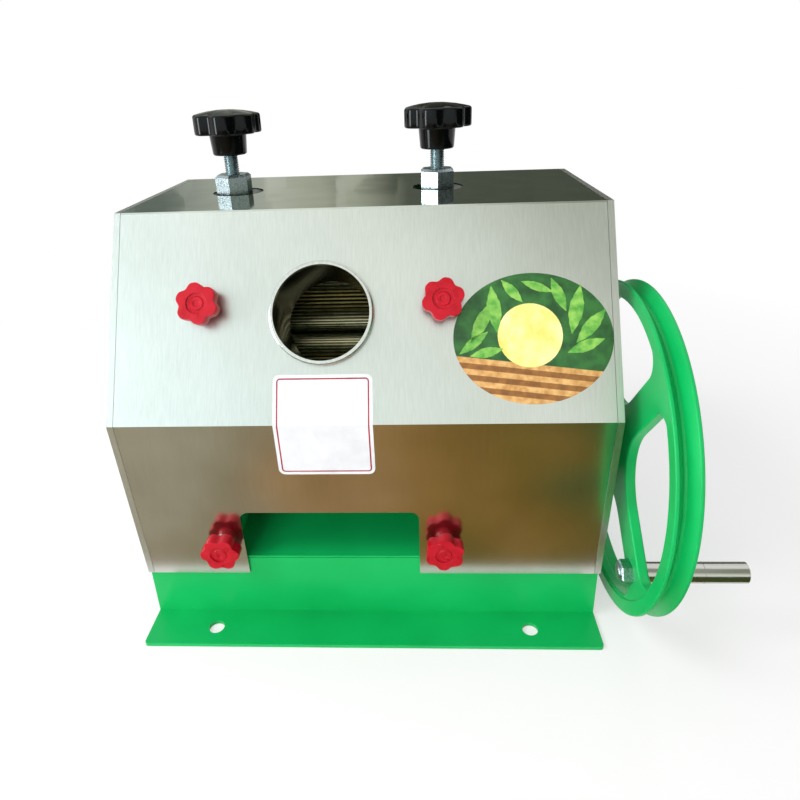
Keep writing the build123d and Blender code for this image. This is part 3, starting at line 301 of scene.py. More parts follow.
# Drawn stainless tube, buffed bright outside and on its rim; inside, below the rim, its colour is
# painted nearly black as painted shade of the tube's interior, and it is still shiny.
def buffedTube():
    look = {
        "place": (-27.5 * mm, -121.594 * mm, 261.842 * mm),
        "wall": 35.7 * mm,
        "wallBlend": 0.2 * mm,
        "rim": 2.5 * mm,
        "rimBlend": 2 * mm,
        "rubSize": 2.5,
        "roughness": (0.08, 0.18),
    }
    material, tree, shader, spot = newMaterial("buffedTube", {"Metallic": 1.0})
    rubs = noise(tree, spot, look["rubSize"], 3.0)
    settings = {
        "vector_type": "TEXTURE",
        "Location": look["place"],
        "Rotation": (pi / 2 - upperTilt, 0, 0),
    }
    inTube = addNode(tree, "ShaderNodeMapping", settings, {"Vector": spot}).outputs["Vector"]
    radius = lengthOf(tree, inTube, (1, 1, 0))
    wall, wallBlend = look["wall"], look["wallBlend"]
    inWall = rangeOf(tree, radius, 1, 0, wall - wallBlend, wall + wallBlend)
    belowRim = rangeOf(tree, along(tree, inTube, "Z"), 1, 0, look["rim"] - look["rimBlend"], look["rim"])
    inside = addNode(tree, "ShaderNodeMath", {"operation": "MULTIPLY"}, {0: inWall, 1: belowRim}).outputs[0]
    bright = ramp(tree, rubs, [(0.3, "#D2D3D0"), (0.7, "#E4E5E2")])
    # painted shade: the inside wall below the rim is coloured nearly black
    dark = ramp(tree, rubs, [(0.3, "#0C1210"), (0.7, "#161D1A")])
    mix = addNode(tree, "ShaderNodeMix", {"data_type": "RGBA"}, {0: inside, 6: bright, 7: dark})
    tree.links.new(mix.outputs[2], shader.inputs["Base Color"])
    roughen(tree, shader, rubs, *look["roughness"])
    bump(tree, shader, rubs, 0.01, 0.3)
    return material


# Bright drawn tube of the grip, rubbed smooth by hands: soft lines along it.
def gripSteel():
    look = {
        "lineLength": 40.0,
        "lineSpacing": 3.0,
        "deep": "#BDBDB8",
        "pale": "#D2D2CD",
        "roughness": (0.12, 0.2),
        "relief": 0.01,
        "strength": 0.2,
    }
    material, tree, shader, spot = newMaterial("gripSteel", {"Metallic": 1.0})
    dress(tree, shader, streakNoise(tree, spot, look["lineLength"], look["lineSpacing"]), look)
    return material


# Semi-gloss enamel sprayed on steel and cast iron: even colour, faint orange peel.
def greenEnamel():
    look = {
        "peelSize": 1.6,
        "peelHeight": 0.03,
        "patchSize": 60.0,
        "deep": "#08A654",
        "fresh": "#0CB25D",
        "roughness": (0.28, 0.38),
    }
    material, tree, shader, spot = newMaterial("greenEnamel", {"IOR": 1.5, "Specular IOR Level": 0.3})
    peel = noise(tree, spot, look["peelSize"], 1.0)
    patches = noise(tree, spot, look["patchSize"], 3.0)
    tint(tree, shader, patches, look["deep"], look["fresh"])
    roughen(tree, shader, patches, *look["roughness"])
    bump(tree, shader, peel, look["peelHeight"], 0.5)
    return material


# Bright zinc plate: bluish, over forged faces that are still rough. Its grain is drawn about
# twice as coarse as the real one, so that it shows.
def zincPlate():
    look = {
        "grainSize": 1.3,
        "pitHeight": 0.25,
        "blue": "#98A8AB",
        "pale": "#B4C1C4",
        "roughness": (0.22, 0.42),
    }
    material, tree, shader, spot = newMaterial("zincPlate", {"Metallic": 1.0})
    grain = noise(tree, spot, look["grainSize"], 3.0, 0.6)
    tint(tree, shader, grain, look["blue"], look["pale"], 0.35, 0.65)
    roughen(tree, shader, grain, *look["roughness"])
    bump(tree, shader, grain, look["pitHeight"], 0.5)
    return material


# Rollers of turned carbon steel: flute crests painted bright and yellowish, partly as rubbed wear and
# partly as a painted highlight; hollows painted dark as painted shade. A point's distance to the
# nearest roller's axis tells crest from hollow.
def rollerSteel():
    look = {
        "axes": ((-35.5 * mm, 178.458 * mm), (35.5 * mm, 178.458 * mm), (0, 230.504 * mm)),
        "hollow": 28.4 * mm,
        "crest": 29.7 * mm,
        "streakSize": 12.0,
        "stops": [(0.0, "#1F1D15"), (0.5, "#6B6449"), (1.0, "#F0E7BC")],
        "roughness": (0.25, 0.4),
    }
    material, tree, shader, spot = newMaterial("rollerSteel", {"Metallic": 1.0})
    streaks = noise(tree, spot, look["streakSize"], 5.0, 0.7)
    nearest = None
    for y, z in look["axes"]:
        settings = {"operation": "SUBTRACT", 1: (0, y, z)}
        fromAxis = addNode(tree, "ShaderNodeVectorMath", settings, {0: spot}).outputs[0]
        radius = lengthOf(tree, fromAxis, (0, 1, 1))
        links = {0: radius, 1: nearest or radius}
        nearest = addNode(tree, "ShaderNodeMath", {"operation": "MINIMUM"}, links).outputs[0]
    # painted highlight on the crests and painted shade in the hollows, broken up by rubbed wear
    height = rangeOf(tree, nearest, 0, 1, look["hollow"], look["crest"])
    wear = rangeOf(tree, streaks, 0.7, 1)
    paintedLightAndWear = addNode(tree, "ShaderNodeMath", {"operation": "MULTIPLY"}, {0: height, 1: wear}).outputs[0]
    tree.links.new(ramp(tree, paintedLightAndWear, look["stops"]), shader.inputs["Base Color"])
    roughen(tree, shader, streaks, *look["roughness"])
    bump(tree, shader, streaks, 0.05, 0.3)
    return material


# Ground steel bar: fine rings round the shaft, nearly smooth.
def groundSteel():
    look = {
        "ringSpacing": 0.6,
        "ringReach": 20.0,
        "deep": "#A9A9A5",
        "pale": "#C6C6C2",
        "roughness": (0.18, 0.3),
        "relief": 0.02,
        "strength": 0.4,
    }
    material, tree, shader, spot = newMaterial("groundSteel", {"Metallic": 1.0})
    dress(tree, shader, streakNoise(tree, spot, look["ringSpacing"], look["ringReach"]), look)
    return material


# Machined gear steel under a film of oil: darker, with patches of shine.
def gearSteel():
    look = {
        "patchSize": 18.0,
        "deep": "#6B6B68",
        "pale": "#94948F",
        "roughness": (0.22, 0.5),
        "relief": 0.05,
        "strength": 0.3,
    }
    material, tree, shader, spot = newMaterial("gearSteel", {"Metallic": 1.0})
    dress(tree, shader, noise(tree, spot, look["patchSize"], 4.0), look)
    return material


# Cast bronze bushes, turned: warm, with a dull skin.
def castBronze():
    look = {
        "patchSize": 4.0,
        "deep": "#8E6A38",
        "pale": "#BE9556",
        "roughness": (0.25, 0.45),
        "relief": 0.04,
        "strength": 0.3,
    }
    material, tree, shader, spot = newMaterial("castBronze", {"Metallic": 1.0})
    dress(tree, shader, noise(tree, spot, look["patchSize"], 4.0), look)
    return material


# Phenolic moulding: black, glassy, with the faint flow marks of a pressed part.
def blackPhenolic():
    look = {
        "flowSize": 9.0,
        "deep": "#040506",
        "pale": "#090A0B",
        "roughness": (0.06, 0.12),
        "relief": 0.05,
        "strength": 0.3,
    }
    material, tree, shader, spot = newMaterial("blackPhenolic", {"IOR": 1.5, "Specular IOR Level": 0.2})
    dress(tree, shader, noise(tree, spot, look["flowSize"], 3.0), look)
    return material


# Injection moulded polypropylene: saturated red, satin from a spark-eroded mould.
def redPolypropylene():
    look = {
        "grainSize": 0.7,
        "grainHeight": 0.02,
        "patchSize": 8.0,
        "deep": "#A5091C",
        "fresh": "#B81026",
        "roughness": (0.25, 0.35),
    }
    material, tree, shader, spot = newMaterial("redPolypropylene", {"IOR": 1.49, "Specular IOR Level": 0.25})
    grain = noise(tree, spot, look["grainSize"], 2.0)
    patches = noise(tree, spot, look["patchSize"], 2.0)
    tint(tree, shader, patches, look["deep"], look["fresh"])
    roughen(tree, shader, patches, *look["roughness"])
    bump(tree, shader, grain, look["grainHeight"], 0.4)
    return material


# Printed vinyl: one ink on gloss film, slightly uneven as such printing is.
def vinylInk(name, deep, fresh, size=14.0):
    material, tree, shader, spot = newMaterial(name, {"IOR": 1.5, "Roughness": 0.25})
    blotches = noise(tree, spot, size, 4.0)
    tint(tree, shader, blotches, deep, fresh, 0.35, 0.65)
    bump(tree, shader, blotches, 0.02, 0.2)
    return material


finishes = {
    "polishedStainless": (polishedStainless(), ["top_panel"]),
    "brushedStainless": (
        stainlessSheet("brushedStainless", brushedLook),
        ["upper_front_panel", "rear_cover", "side_panel_left", "side_panel_right"],
    ),
    "satinStainless": (stainlessSheet("satinStainless", satinLook), ["lower_front_panel"]),
    "buffedTube": (buffedTube(), ["feed_tube"]),
    "gripSteel": (gripSteel(), ["crank_grip"]),
    "greenEnamel": (
        greenEnamel(),
        [
            "base", "juice_tray", "bagasse_chute", "frame_left", "frame_right", "outboard_plate",
            "handwheel", "press_bridges", "guide_bar",
        ],
    ),
    "zincPlate": (
        zincPlate(),
        [
            "screw_bosses", "cover_standoffs", "rear_cover_screws", "side_panel_screws", "tie_bar_bolts",
            "frame_tie_bars", "outboard_bolts", "outboard_spacers", "adjusting_screw_left",
            "adjusting_screw_right", "wheel_washer", "wheel_nut", "crank_bolt", "crank_nut",
            "thumb_washer_upper_left", "thumb_washer_upper_right", "thumb_washer_lower_left",
            "thumb_washer_lower_right",
        ],
    ),
    "rollerSteel": (rollerSteel(), ["top_roller", "front_roller", "rear_roller"]),
    "groundSteel": (
        groundSteel(),
        [
            "top_roller_shaft", "front_roller_shaft", "rear_roller_shaft", "input_shaft", "wheel_key",
            "bearing_block_left", "bearing_block_right",
        ],
    ),
    "gearSteel": (
        gearSteel(), ["top_roller_gear", "front_roller_gear", "rear_roller_gear", "drive_gear", "pinion"]
    ),
    "castBronze": (castBronze(), ["roller_bushes", "input_shaft_bushes", "top_roller_bushes"]),
    "blackPhenolic": (blackPhenolic(), ["star_knob_left", "star_knob_right"]),
    "redPolypropylene": (
        redPolypropylene(),
        [
            "thumb_screw_upper_left", "thumb_screw_upper_right", "thumb_screw_lower_left",
            "thumb_screw_lower_right",
        ],
    ),
}
for material, names in finishes.values():
    for name in names:
        for holder in nodes[name].material_slots:
            holder.material = material
print("materials given to the frame's pieces")


# lobed knobs: a cylinder whose ring of vertices is drawn in between the lobes; this gives
# the outline's radius at an angle, as a share of the outer radius; narrow hollows, full lobes
def lobeShare(phase, hollow):
    dip = (0.5 - 0.5 * cos(2 * pi * phase)) ** 1.6
    return 1 - hollow * dip


def lobeOutline(piece, k):
    perLobe = k["perLobe"]
    for step in range(perLobe):
        def onStep(spot):
            turn = degrees(atan2(spot.y, spot.x)) % 360 * k["lobes"] * perLobe / 360
            return round(turn) % perLobe == step
        selectVertices(piece, onStep)
        shape(lobeShare(step / perLobe, k["hollow"]))


# a cylinder with lobes, standing on a height
def lobedCap(k, bottom, height):
    bpy.ops.mesh.primitive_cylinder_add(
        vertices=k["lobes"] * k["perLobe"], radius=k["radius"], depth=height,
        location=(0, 0, bottom + height / 2),
    )
    cap = bpy.context.object
    bpy.ops.object.transform_apply(location=True)
    lobeOutline(cap, k)
    return cap


def roundEdges(piece, width, sharpest, smoothest):
    rounding = piece.modifiers.new("rounding", "BEVEL")
    rounding.width = width
    rounding.segments = 4
    rounding.limit_method = "ANGLE"
    rounding.angle_limit = radians(sharpest)
    applyAll(piece)
    bpy.ops.object.shade_smooth_by_angle(angle=radians(smoothest))


thumbKnob = {
    "radius": 15.25 * mm,
    "lobes": 6,
    "perLobe": 12,
    "hollow": 0.17,
    "washer": 1.05 * mm,
    "neckHeight": 6 * mm,
    "neckRadius": 6.5 * mm,
    "neckFlare": 1.2 * mm,
    "headHeight": 9 * mm,
    "edge": 1.8 * mm,
    "edgeStep": 0.6 * mm,
    "recessRadius": 7.4 * mm,
    "recessDepth": 1.1 * mm,
    "recessSlope": 0.8 * mm,
    "buttonRadius": 4.6 * mm,
    "buttonShare": 0.6,
    "dimpleShare": 0.5,
    "dimpleDepth": 0.5 * mm,
    "studRadius": 4 * mm,
    "studLength": 17.2 * mm,
    "rounding": 1.5 * mm,
}


def makeThumbKnob():
    k = thumbKnob
    bottom = k["washer"] + k["neckHeight"]
    knob = lobedCap(k, bottom, k["headHeight"])
    top = bottom + k["headHeight"]
    slope, button, neck = k["recessSlope"], k["buttonRadius"], k["neckRadius"]
    # face: a shallow round recess with a raised button, then the neck and the stud below
    selectFaces(knob, lambda face: face.normal.z > 0.9)
    bpy.ops.mesh.inset(thickness=k["edge"])
    bpy.ops.mesh.inset(thickness=k["edgeStep"])
    makeRound(knob, top, k["recessRadius"] + slope)
    bpy.ops.mesh.inset(thickness=slope)
    pushOut(-k["recessDepth"])
    bpy.ops.mesh.inset(thickness=k["recessRadius"] - button - slope)
    pushOut(0)
    shape(button / (button + slope))
    bpy.ops.transform.translate(value=(0, 0, k["recessDepth"] * k["buttonShare"]))
    bpy.ops.mesh.inset(thickness=button * k["dimpleShare"])
    pushOut(-k["dimpleDepth"])
    selectFaces(knob, lambda face: face.normal.z < -0.9)
    makeRound(knob, bottom, neck + k["neckFlare"])
    pushOut(-k["neckHeight"])
    shape(neck / (neck + k["neckFlare"]))
    pushOut(0)
    shape(k["studRadius"] / neck)
    pushOut(-(k["washer"] + k["studLength"]))
    bpy.ops.object.mode_set(mode="OBJECT")
    roundEdges(knob, k["rounding"], 50, 35)
    return knob


# the selected face gets an inner ring that is a true circle of a given radius
def makeRound(piece, z, radius):
    pushOut(0)
    bpy.ops.object.mode_set(mode="OBJECT")
    chosen = [v.index for v in piece.data.vertices if v.select]
    groups = {}
    for index in chosen:
        spot = piece.data.vertices[index].co
        groups.setdefault(round(spot.xy.length, 6), []).append(index)
    for size, members in groups.items():
        bpy.ops.object.mode_set(mode="EDIT")
        bpy.ops.mesh.select_mode(type="VERT")
        bpy.ops.mesh.select_all(action="DESELECT")
        bpy.ops.object.mode_set(mode="OBJECT")
        for index in members:
            piece.data.vertices[index].select = True
        bpy.ops.object.mode_set(mode="EDIT")
        shape(radius / size)
    slack = 0.01 * mm
    selectVertices(piece, lambda spot: abs(spot.z - z) < slack and spot.xy.length < radius + slack)
    bpy.ops.mesh.select_mode(type="FACE")


knobTurns = {"upper_left": 39, "upper_right": 17, "lower_left": 0, "lower_right": 25}
patternKnob = makeThumbKnob()
for where, turn in knobTurns.items():
    x = frameX(where)
    z = case["upperThumbHeight"] if "upper" in where else case["lowerThumbHeight"]
    knob = copyOf(patternKnob, "thumbKnob_" + where)
    place(knob, panelMatrix(x, z) @ Matrix.Rotation(radians(turn), 4, "Z"))
    finishPiece(knob, finishes["redPolypropylene"][0], "thumb_" + where, "red_knob", "thumb_screw_" + where)
bpy.data.objects.remove(patternKnob)
print("thumb knobs made")

starKnob = {
    "radius": 28.25 * mm,
    "lobes": 7,
    "perLobe": 12,
    "hollow": 0.14,
    "capBottom": 379 * mm,
    "capHeight": 15 * mm,
    "dome": 4 * mm,
    "domeRings": (0.92, 0.78, 0.55, 0.25),
    "hubBottom": 362 * mm,
    "hubRadius": 14 * mm,
    "neckRadius": 15.25 * mm,
    "neckFlare": 4 * mm,
    "boreRadius": 6 * mm,
    "boreGap": 0.1 * mm,
    "boreDepth": 3 * mm,
    "rounding": 1.6 * mm,
}


def makeStarKnob():
    k = starKnob
    knob = lobedCap(k, k["capBottom"], k["capHeight"])
    # crown: rings drawn in and lifted step by step to a low dome
    selectFaces(knob, lambda face: face.normal.z > 0.9)
    reach = 1.0
    for share in k["domeRings"]:
        pushOut(0)
        shape(share / reach)
        lift = k["dome"] * ((1 - share**2) - (1 - reach**2))
        bpy.ops.transform.translate(value=(0, 0, lift))
        reach = share
    # underside: in to the neck, then down the hub to the screw's bore
    neck = k["neckRadius"]
    selectFaces(knob, lambda face: face.normal.z < -0.9)
    makeRound(knob, k["capBottom"], neck + k["neckFlare"])
    pushOut(0)
    shape(neck / (neck + k["neckFlare"]))
    pushOut(-(k["capBottom"] - k["hubBottom"]))
    shape(k["hubRadius"] / neck)
    bpy.ops.mesh.inset(thickness=k["hubRadius"] - k["boreRadius"] - k["boreGap"])
    pushOut(k["boreDepth"])
    bpy.ops.object.mode_set(mode="OBJECT")
    roundEdges(knob, k["rounding"], 45, 40)
    return knob


starTurns = {"left": 32, "right": 12}
patternStar = makeStarKnob()
for side, turn in starTurns.items():
    x = frameX(side)
    knob = copyOf(patternStar, "starKnob_" + side)
    place(knob, Matrix.Translation((x, 0, 0)) @ Matrix.Rotation(radians(90 + turn), 4, "Z"))
    finishPiece(knob, finishes["blackPhenolic"][0], side + "_press_screw", "black_knob", "star_knob_" + side)
bpy.data.objects.remove(patternStar)
print("star knobs made")

# threaded pressing screws: one thread profile swept up a helix
screwThread = {
    "crest": 6 * mm,
    "root": 5.0 * mm,
    "pitch": 1.75 * mm,
    "bottom": 266 * mm,
    "top": 379 * mm,
    "steps": 24,
    "slack": 0.1 * mm,
}


def makeThread():
    t = screwThread
    edge = 1 * mm
    bpy.ops.mesh.primitive_plane_add(
        size=edge, location=(t["root"], 0, t["bottom"]), rotation=(pi / 2, 0, 0)
    )
    thread = bpy.context.object
    bpy.ops.object.transform_apply(location=True, rotation=True)
    # the plane keeps one edge, which is cut in two and drawn out to the crest
    selectVertices(thread, lambda spot: spot.x > t["root"])
    bpy.ops.mesh.delete(type="VERT")
    selectVertices(thread, lambda spot: True)
    bpy.ops.mesh.subdivide(number_cuts=1)
    selectVertices(thread, lambda spot: True)
    bpy.ops.transform.translate(value=(edge / 2, 0, 0))
    bpy.ops.transform.resize(value=(1, 1, t["pitch"] / edge), orient_type="GLOBAL")
    selectVertices(thread, lambda spot: abs(spot.z - t["bottom"]) < t["slack"])
    bpy.ops.transform.translate(value=(t["crest"] - t["root"], 0, 0))
    bpy.ops.object.mode_set(mode="OBJECT")
    sweep = thread.modifiers.new("sweep", "SCREW")
    sweep.screw_offset = t["pitch"]
    sweep.iterations = int((t["top"] - t["bottom"]) / t["pitch"]) - 1
    sweep.steps = t["steps"]
    sweep.render_steps = t["steps"]
    sweep.use_merge_vertices = True
    applyAll(thread)
    bpy.ops.object.mode_set(mode="EDIT")
    bpy.ops.mesh.select_all(action="SELECT")
    bpy.ops.mesh.remove_doubles(threshold=0.01 * mm)
    bpy.ops.mesh.fill_holes(sides=0)
    bpy.ops.mesh.normals_make_consistent(inside=False)
    bpy.ops.object.mode_set(mode="OBJECT")
    bpy.ops.object.shade_smooth_by_angle(angle=radians(25))
    return thread


patternThread = makeThread()
for side in ("left", "right"):
    x = frameX(side)
    thread = copyOf(patternThread, "pressThread_" + side)
    place(thread, Matrix.Translation((x, 0, 0)))
    zinc = finishes["zincPlate"][0]
    finishPiece(thread, zinc, side + "_press_screw", "zinc_plate", "adjusting_screw_" + side)
bpy.data.objects.remove(patternThread)
print("threads made")

# plain label: white vinyl with a thin red frame, folded over the ridge of the case
label = {
    "left": -63 * mm,
    "right": 9 * mm,
    "top": 223 * mm,
    "bottom": 147.7 * mm,
    "corner": 5 * mm,
    "margin": 2.4 * mm,
    "frame": 1.1 * mm,
    "thickness": 0.15 * mm,
    "proud": 0.05 * mm,
}
whiteVinyl = vinylInk("whiteVinyl", "#D2D4D9", "#DCDEE3")
redInk = vinylInk("darkRedInk", "#8E1F35", "#A32A40")


def thicken(piece, thickness):
    wall = piece.modifiers.new("wall", "SOLIDIFY")
    wall.thickness = thickness
    wall.offset = 1
    applyAll(piece)


def makeLabel():
    k = label
    above = (k["top"] - case["ridgeHeight"]) / cos(upperTilt)
    below = (case["ridgeHeight"] - k["bottom"]) / cos(lowerTilt)
    width = k["right"] - k["left"]
    bpy.ops.mesh.primitive_plane_add(size=1, location=(0, (above - below) / 2, 0))
    sheet = bpy.context.object
    sheet.name = "plainLabel"
    sheet.scale = (width, above + below, 1)
    bpy.ops.object.transform_apply(location=True, scale=True)
    bpy.ops.object.mode_set(mode="EDIT")
    bpy.ops.mesh.select_all(action="SELECT")
    bpy.ops.mesh.bevel(offset=k["corner"], segments=6, affect="VERTICES")
    bpy.ops.object.mode_set(mode="OBJECT")
    sheet.data.materials.append(whiteVinyl)
    sheet.data.materials.append(redInk)
    bpy.ops.object.mode_set(mode="EDIT")
    bpy.ops.mesh.select_all(action="SELECT")
    bpy.ops.mesh.inset(thickness=k["margin"])
    bpy.ops.mesh.inset(thickness=k["frame"])
    bpy.ops.object.mode_set(mode="OBJECT")
    # the red frame is the ring between the two insets
    middle = (above - below) / 2
    half = Vector((width, above + below)) / 2
    outer = k["margin"] - 0.1 * mm
    for face in sheet.data.polygons:
        corners = [sheet.data.vertices[i].co for i in face.vertices]
        inset = min(min(half.x - abs(c.x), half.y - abs(c.y - middle)) for c in corners)
        if inset > outer and face.area < half.x * (above + below):
            face.material_index = 1
    # folded at the ridge: the upper part leans back
    bpy.ops.object.mode_set(mode="EDIT")
    bpy.ops.mesh.select_all(action="SELECT")
    bpy.ops.mesh.bisect(plane_co=(0, 0, 0), plane_no=(0, 1, 0))
    bpy.ops.object.mode_set(mode="OBJECT")
    selectVertices(sheet, lambda spot: spot.y > 0.01 * mm)
    bend = upperTilt + lowerTilt
    bpy.ops.transform.rotate(value=bend, orient_axis="X", center_override=(0, 0, 0))
    bpy.ops.object.mode_set(mode="OBJECT")
    thicken(sheet, k["thickness"])
    place(sheet, panelMatrix((k["left"] + k["right"]) / 2, case["ridgeHeight"], k["proud"]))
    return sheet


plainLabel = makeLabel()
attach(plainLabel, "case_and_frame")
print("label made")

# oval sticker: bands of earth under a green field, with a pale disc and leaves
sticker = {
    "centreX": 123.6 * mm,
    "centreZ": 244 * mm,
    "width": 113 * mm,
    "height": 94 * mm,
    "thickness": 0.12 * mm,
    "soilTop": -0.20,
    "soilBands": 7,
    "soilSlope": 0.12,
    "layer": 0.04 * mm,
    "proud": 0.05 * mm,
    "disc": 46 * mm,
    "discX": -2 * mm,
    "discY": 2 * mm,
    "leafNarrowing": (0.2, 0.3, 0.38, 0.44),
}
leaves = [  # centre across and up, length, width in mm, turn in degrees
    (-36, 12, 34, 9, 62),
    (-27, 21, 34, 10, 96),
    (-42, -3, 26, 7, 38),
    (31, 20, 36, 10, 78),
    (41, 8, 32, 9, 48),
    (19, 31, 26, 8, 112),
    (-14, 34, 22, 7, 132),
    (37, -6, 28, 8, 20),
    (4, 37, 24, 6, 160),
    (-33, -10, 24, 7, 12),
]
fieldInk = vinylInk("deepGreenInk", "#1D4A22", "#2F6B30", 9.0)
leafInk = vinylInk("leafGreenInk", "#4E9A3A", "#8CC456", 6.0)
discInk = vinylInk("paleYellowInk", "#E6D66A", "#F4EDA6", 16.0)
soilInk = vinylInk("ochreInk", "#B98546", "#DDB070", 5.0)
earthInk = vinylInk("brownInk", "#7A4E25", "#96642F", 5.0)


def makeOval():
    k = sticker
    bpy.ops.mesh.primitive_circle_add(vertices=96, radius=0.5, fill_type="NGON", location=(0, 0, 0))
    oval = bpy.context.object
    oval.name = "ovalSticker"
    oval.scale = (k["width"], k["height"], 1)
    bpy.ops.object.transform_apply(scale=True)
    for ink in (fieldInk, soilInk, earthInk):
        oval.data.materials.append(ink)
    soilTop = k["soilTop"] * k["height"]
    band = (soilTop + k["height"] / 2) / k["soilBands"]
    for step in range(k["soilBands"]):
        bpy.ops.object.mode_set(mode="EDIT")
        bpy.ops.mesh.select_all(action="SELECT")
        bpy.ops.mesh.bisect(plane_co=(0, soilTop - step * band, 0), plane_no=(k["soilSlope"], 1, 0))
        bpy.ops.object.mode_set(mode="OBJECT")
    for face in oval.data.polygons:
        depth = (soilTop - face.center.y - k["soilSlope"] * face.center.x) / band
        face.material_index = 0 if depth < 0 else 1 + int(depth) % 2
    thicken(oval, k["thickness"])
    return oval


def printedShape(name, x, y, length, width, turn, ink, level):
    bpy.ops.mesh.primitive_circle_add(vertices=40, radius=0.5, fill_type="NGON")
    shapePiece = bpy.context.object
    shapePiece.name = name
    shapePiece.scale = (length, width, 1)
    bpy.ops.object.transform_apply(scale=True)
    # leaves are drawn in towards their two tips
    for reach in sticker["leafNarrowing"] if ink == leafInk else ():
        selectVertices(shapePiece, lambda spot: abs(spot.x) > reach * length)
        bpy.ops.transform.resize(value=(1, 0.8, 1), orient_type="GLOBAL", center_override=(0, 0, 0))
        bpy.ops.object.mode_set(mode="OBJECT")
    shapePiece.data.materials.append(ink)
    thicken(shapePiece, sticker["layer"])
    place(shapePiece, Matrix.Translation((x, y, level)) @ Matrix.Rotation(radians(turn), 4, "Z"))
    return shapePiece


oval = makeOval()
disc = sticker["disc"]
onOval = [
    printedShape("paleDisc", sticker["discX"], sticker["discY"], disc, disc, 0, discInk, sticker["thickness"])
]
for number, (x, y, length, width, turn) in enumerate(leaves):
    level = sticker["thickness"] + sticker["layer"] * (1 + number % 2)
    name = f"leafPrint_{number + 1}"
    onOval.append(printedShape(name, x * mm, y * mm, length * mm, width * mm, turn, leafInk, level))
for piece in [oval] + onOval:
    place(piece, panelMatrix(sticker["centreX"], sticker["centreZ"], sticker["proud"]))
    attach(piece, "case_and_frame")
print("oval sticker made")

# floor, reflection cards and lights
studio = {
    "floorSize": 12.0,
    "floorDrop": 0.2 * mm,
    "floorGrey": 0.92,
    "worldLight": 0.5,
    "floorGlow": 0.55,
    "fadeStart": 0.42,
    "fadeEnd": 0.95,
}
lamps = {
    "keySoftbox": {
        "power": 19.0,
        "size": 0.8,
        "place": (-1.2, -0.55, 1.5),
        "target": (0, 0, 0.15),
        "colour": "#FFFFFF",
    },
    "frontSoftbox": {
        "power": 17.0,
        "size": 1.0,
        "place": (-0.7, -1.5, 0.5),
        "target": (0, 0, 0.1),
        "colour": "#FFFDF8",
    },
    "topSoftbox": {
        "power": 6.0,
        "size": 1.4,
        "place": (0.1, 0.5, 1.6),
        "target": (0, 0, 0.1),
        "colour": "#FFFFFF",
    },
}


# rays that see the background: the camera's, and those off metal and through glass
def backgroundRays(tree):
    path = addNode(tree, "ShaderNodeLightPath")
    links = {0: path.outputs["Is Glossy Ray"], 1: path.outputs["Is Transmission Ray"]}
    shiny = addNode(tree, "ShaderNodeMath", {"operation": "MAXIMUM"}, links).outputs[0]
    links = {0: path.outputs["Is Camera Ray"], 1: shiny}
    return addNode(tree, "ShaderNodeMath", {"operation": "MAXIMUM"}, links).outputs[0]


def makeFloor():
    bpy.ops.mesh.primitive_plane_add(size=studio["floorSize"], location=(0, 0, -studio["floorDrop"]))
    floor = bpy.context.object
    floor.name = "studioFloor"
    material, tree = emptyMaterial("paleFloor")
    matt = addNode(tree, "ShaderNodeBsdfDiffuse", {"Color": (*[studio["floorGrey"]] * 3, 1)})
    glow = addNode(tree, "ShaderNodeEmission", {"Color": (1, 1, 1, 1), "Strength": 1.0})
    # away from the machine the floor fades into the white background
    spot = addNode(tree, "ShaderNodeTexCoord").outputs["Object"]
    distance = lengthOf(tree, spot, (1, 1, 1))
    share = rangeOf(tree, distance, studio["floorGlow"], 1.0, studio["fadeStart"], studio["fadeEnd"])
    links = {0: backgroundRays(tree), 1: share}
    seen = addNode(tree, "ShaderNodeMath", {"operation": "MULTIPLY"}, links).outputs[0]
    mix = addNode(tree, "ShaderNodeMixShader", links={0: seen, 1: matt.outputs[0], 2: glow.outputs[0]})
    addNode(tree, "ShaderNodeOutputMaterial", links={"Surface": mix.outputs[0]})
    floor.data.materials.append(material)


# a card that only metal sees, so that bright sheet has something to reflect
def makeCard(name, k):
    bpy.ops.mesh.primitive_plane_add(size=1, location=k["place"], rotation=[radians(r) for r in k["turn"]])
    card = bpy.context.object
    card.name = name
    card.scale = (*k["size"], 1)
    material, tree = emptyMaterial(name + "Paper")
    settings = {"Color": linear(k["colour"]), "Strength": k.get("strength", 1.0)}
    glow = addNode(tree, "ShaderNodeEmission", settings)
    addNode(tree, "ShaderNodeOutputMaterial", links={"Surface": glow.outputs[0]})
    card.data.materials.append(material)
    card.visible_camera = False
    card.visible_diffuse = False
    card.visible_shadow = False
    card.visible_transmission = False
    spot = addNode(tree, "ShaderNodeTexCoord").outputs["Object"]
    return tree, glow, spot


# the card's colours run across it, between two places given as shares of its width
def paintCard(tree, glow, across, k):
    share = rangeOf(tree, across, 0, 1, *k["span"])
    tree.links.new(ramp(tree, share, k["stops"]), glow.inputs["Color"])


def shifted(tree, pattern, amount, across):
    settings = {"operation": "MULTIPLY_ADD", 1: amount}
    return addNode(tree, "ShaderNodeMath", settings, {0: pattern, 2: across}).outputs[0]


# room behind, which the mirror of the top shows: a pale window left of the middle, dark on the
# right, with edges broken up by panes
def makeWallCard():
    k = {
        "size": (3.2, 1.1),
        "place": (0, 1.3, 0.75),
        "turn": (90, 0, 0),
        "colour": "#3A403C",
        "paneScale": (26, 10, 1),
        "paneShift": 0.06,
        "span": (-0.22, 0.22),
        "stops": [(0.0, "#69736A"), (0.3, "#BFC3B6"), (0.46, "#A6AB98"), (0.56, "#565B50"), (1.0, "#4A4F44")],
    }
    tree, glow, spot = makeCard("wallCard", k)
    inPanes = addNode(tree, "ShaderNodeMapping", {"Scale": k["paneScale"]}, {"Vector": spot})
    settings = {"distance": "CHEBYCHEV", "Scale": 1.0, "Randomness": 0.8}
    panes = addNode(tree, "ShaderNodeTexVoronoi", settings, {"Vector": inPanes.outputs[0]}).outputs["Color"]
    paneValue = addNode(tree, "ShaderNodeSeparateColor", links={0: panes}).outputs[0]
    paintCard(tree, glow, shifted(tree, paneValue, k["paneShift"], along(tree, spot, "X")), k)


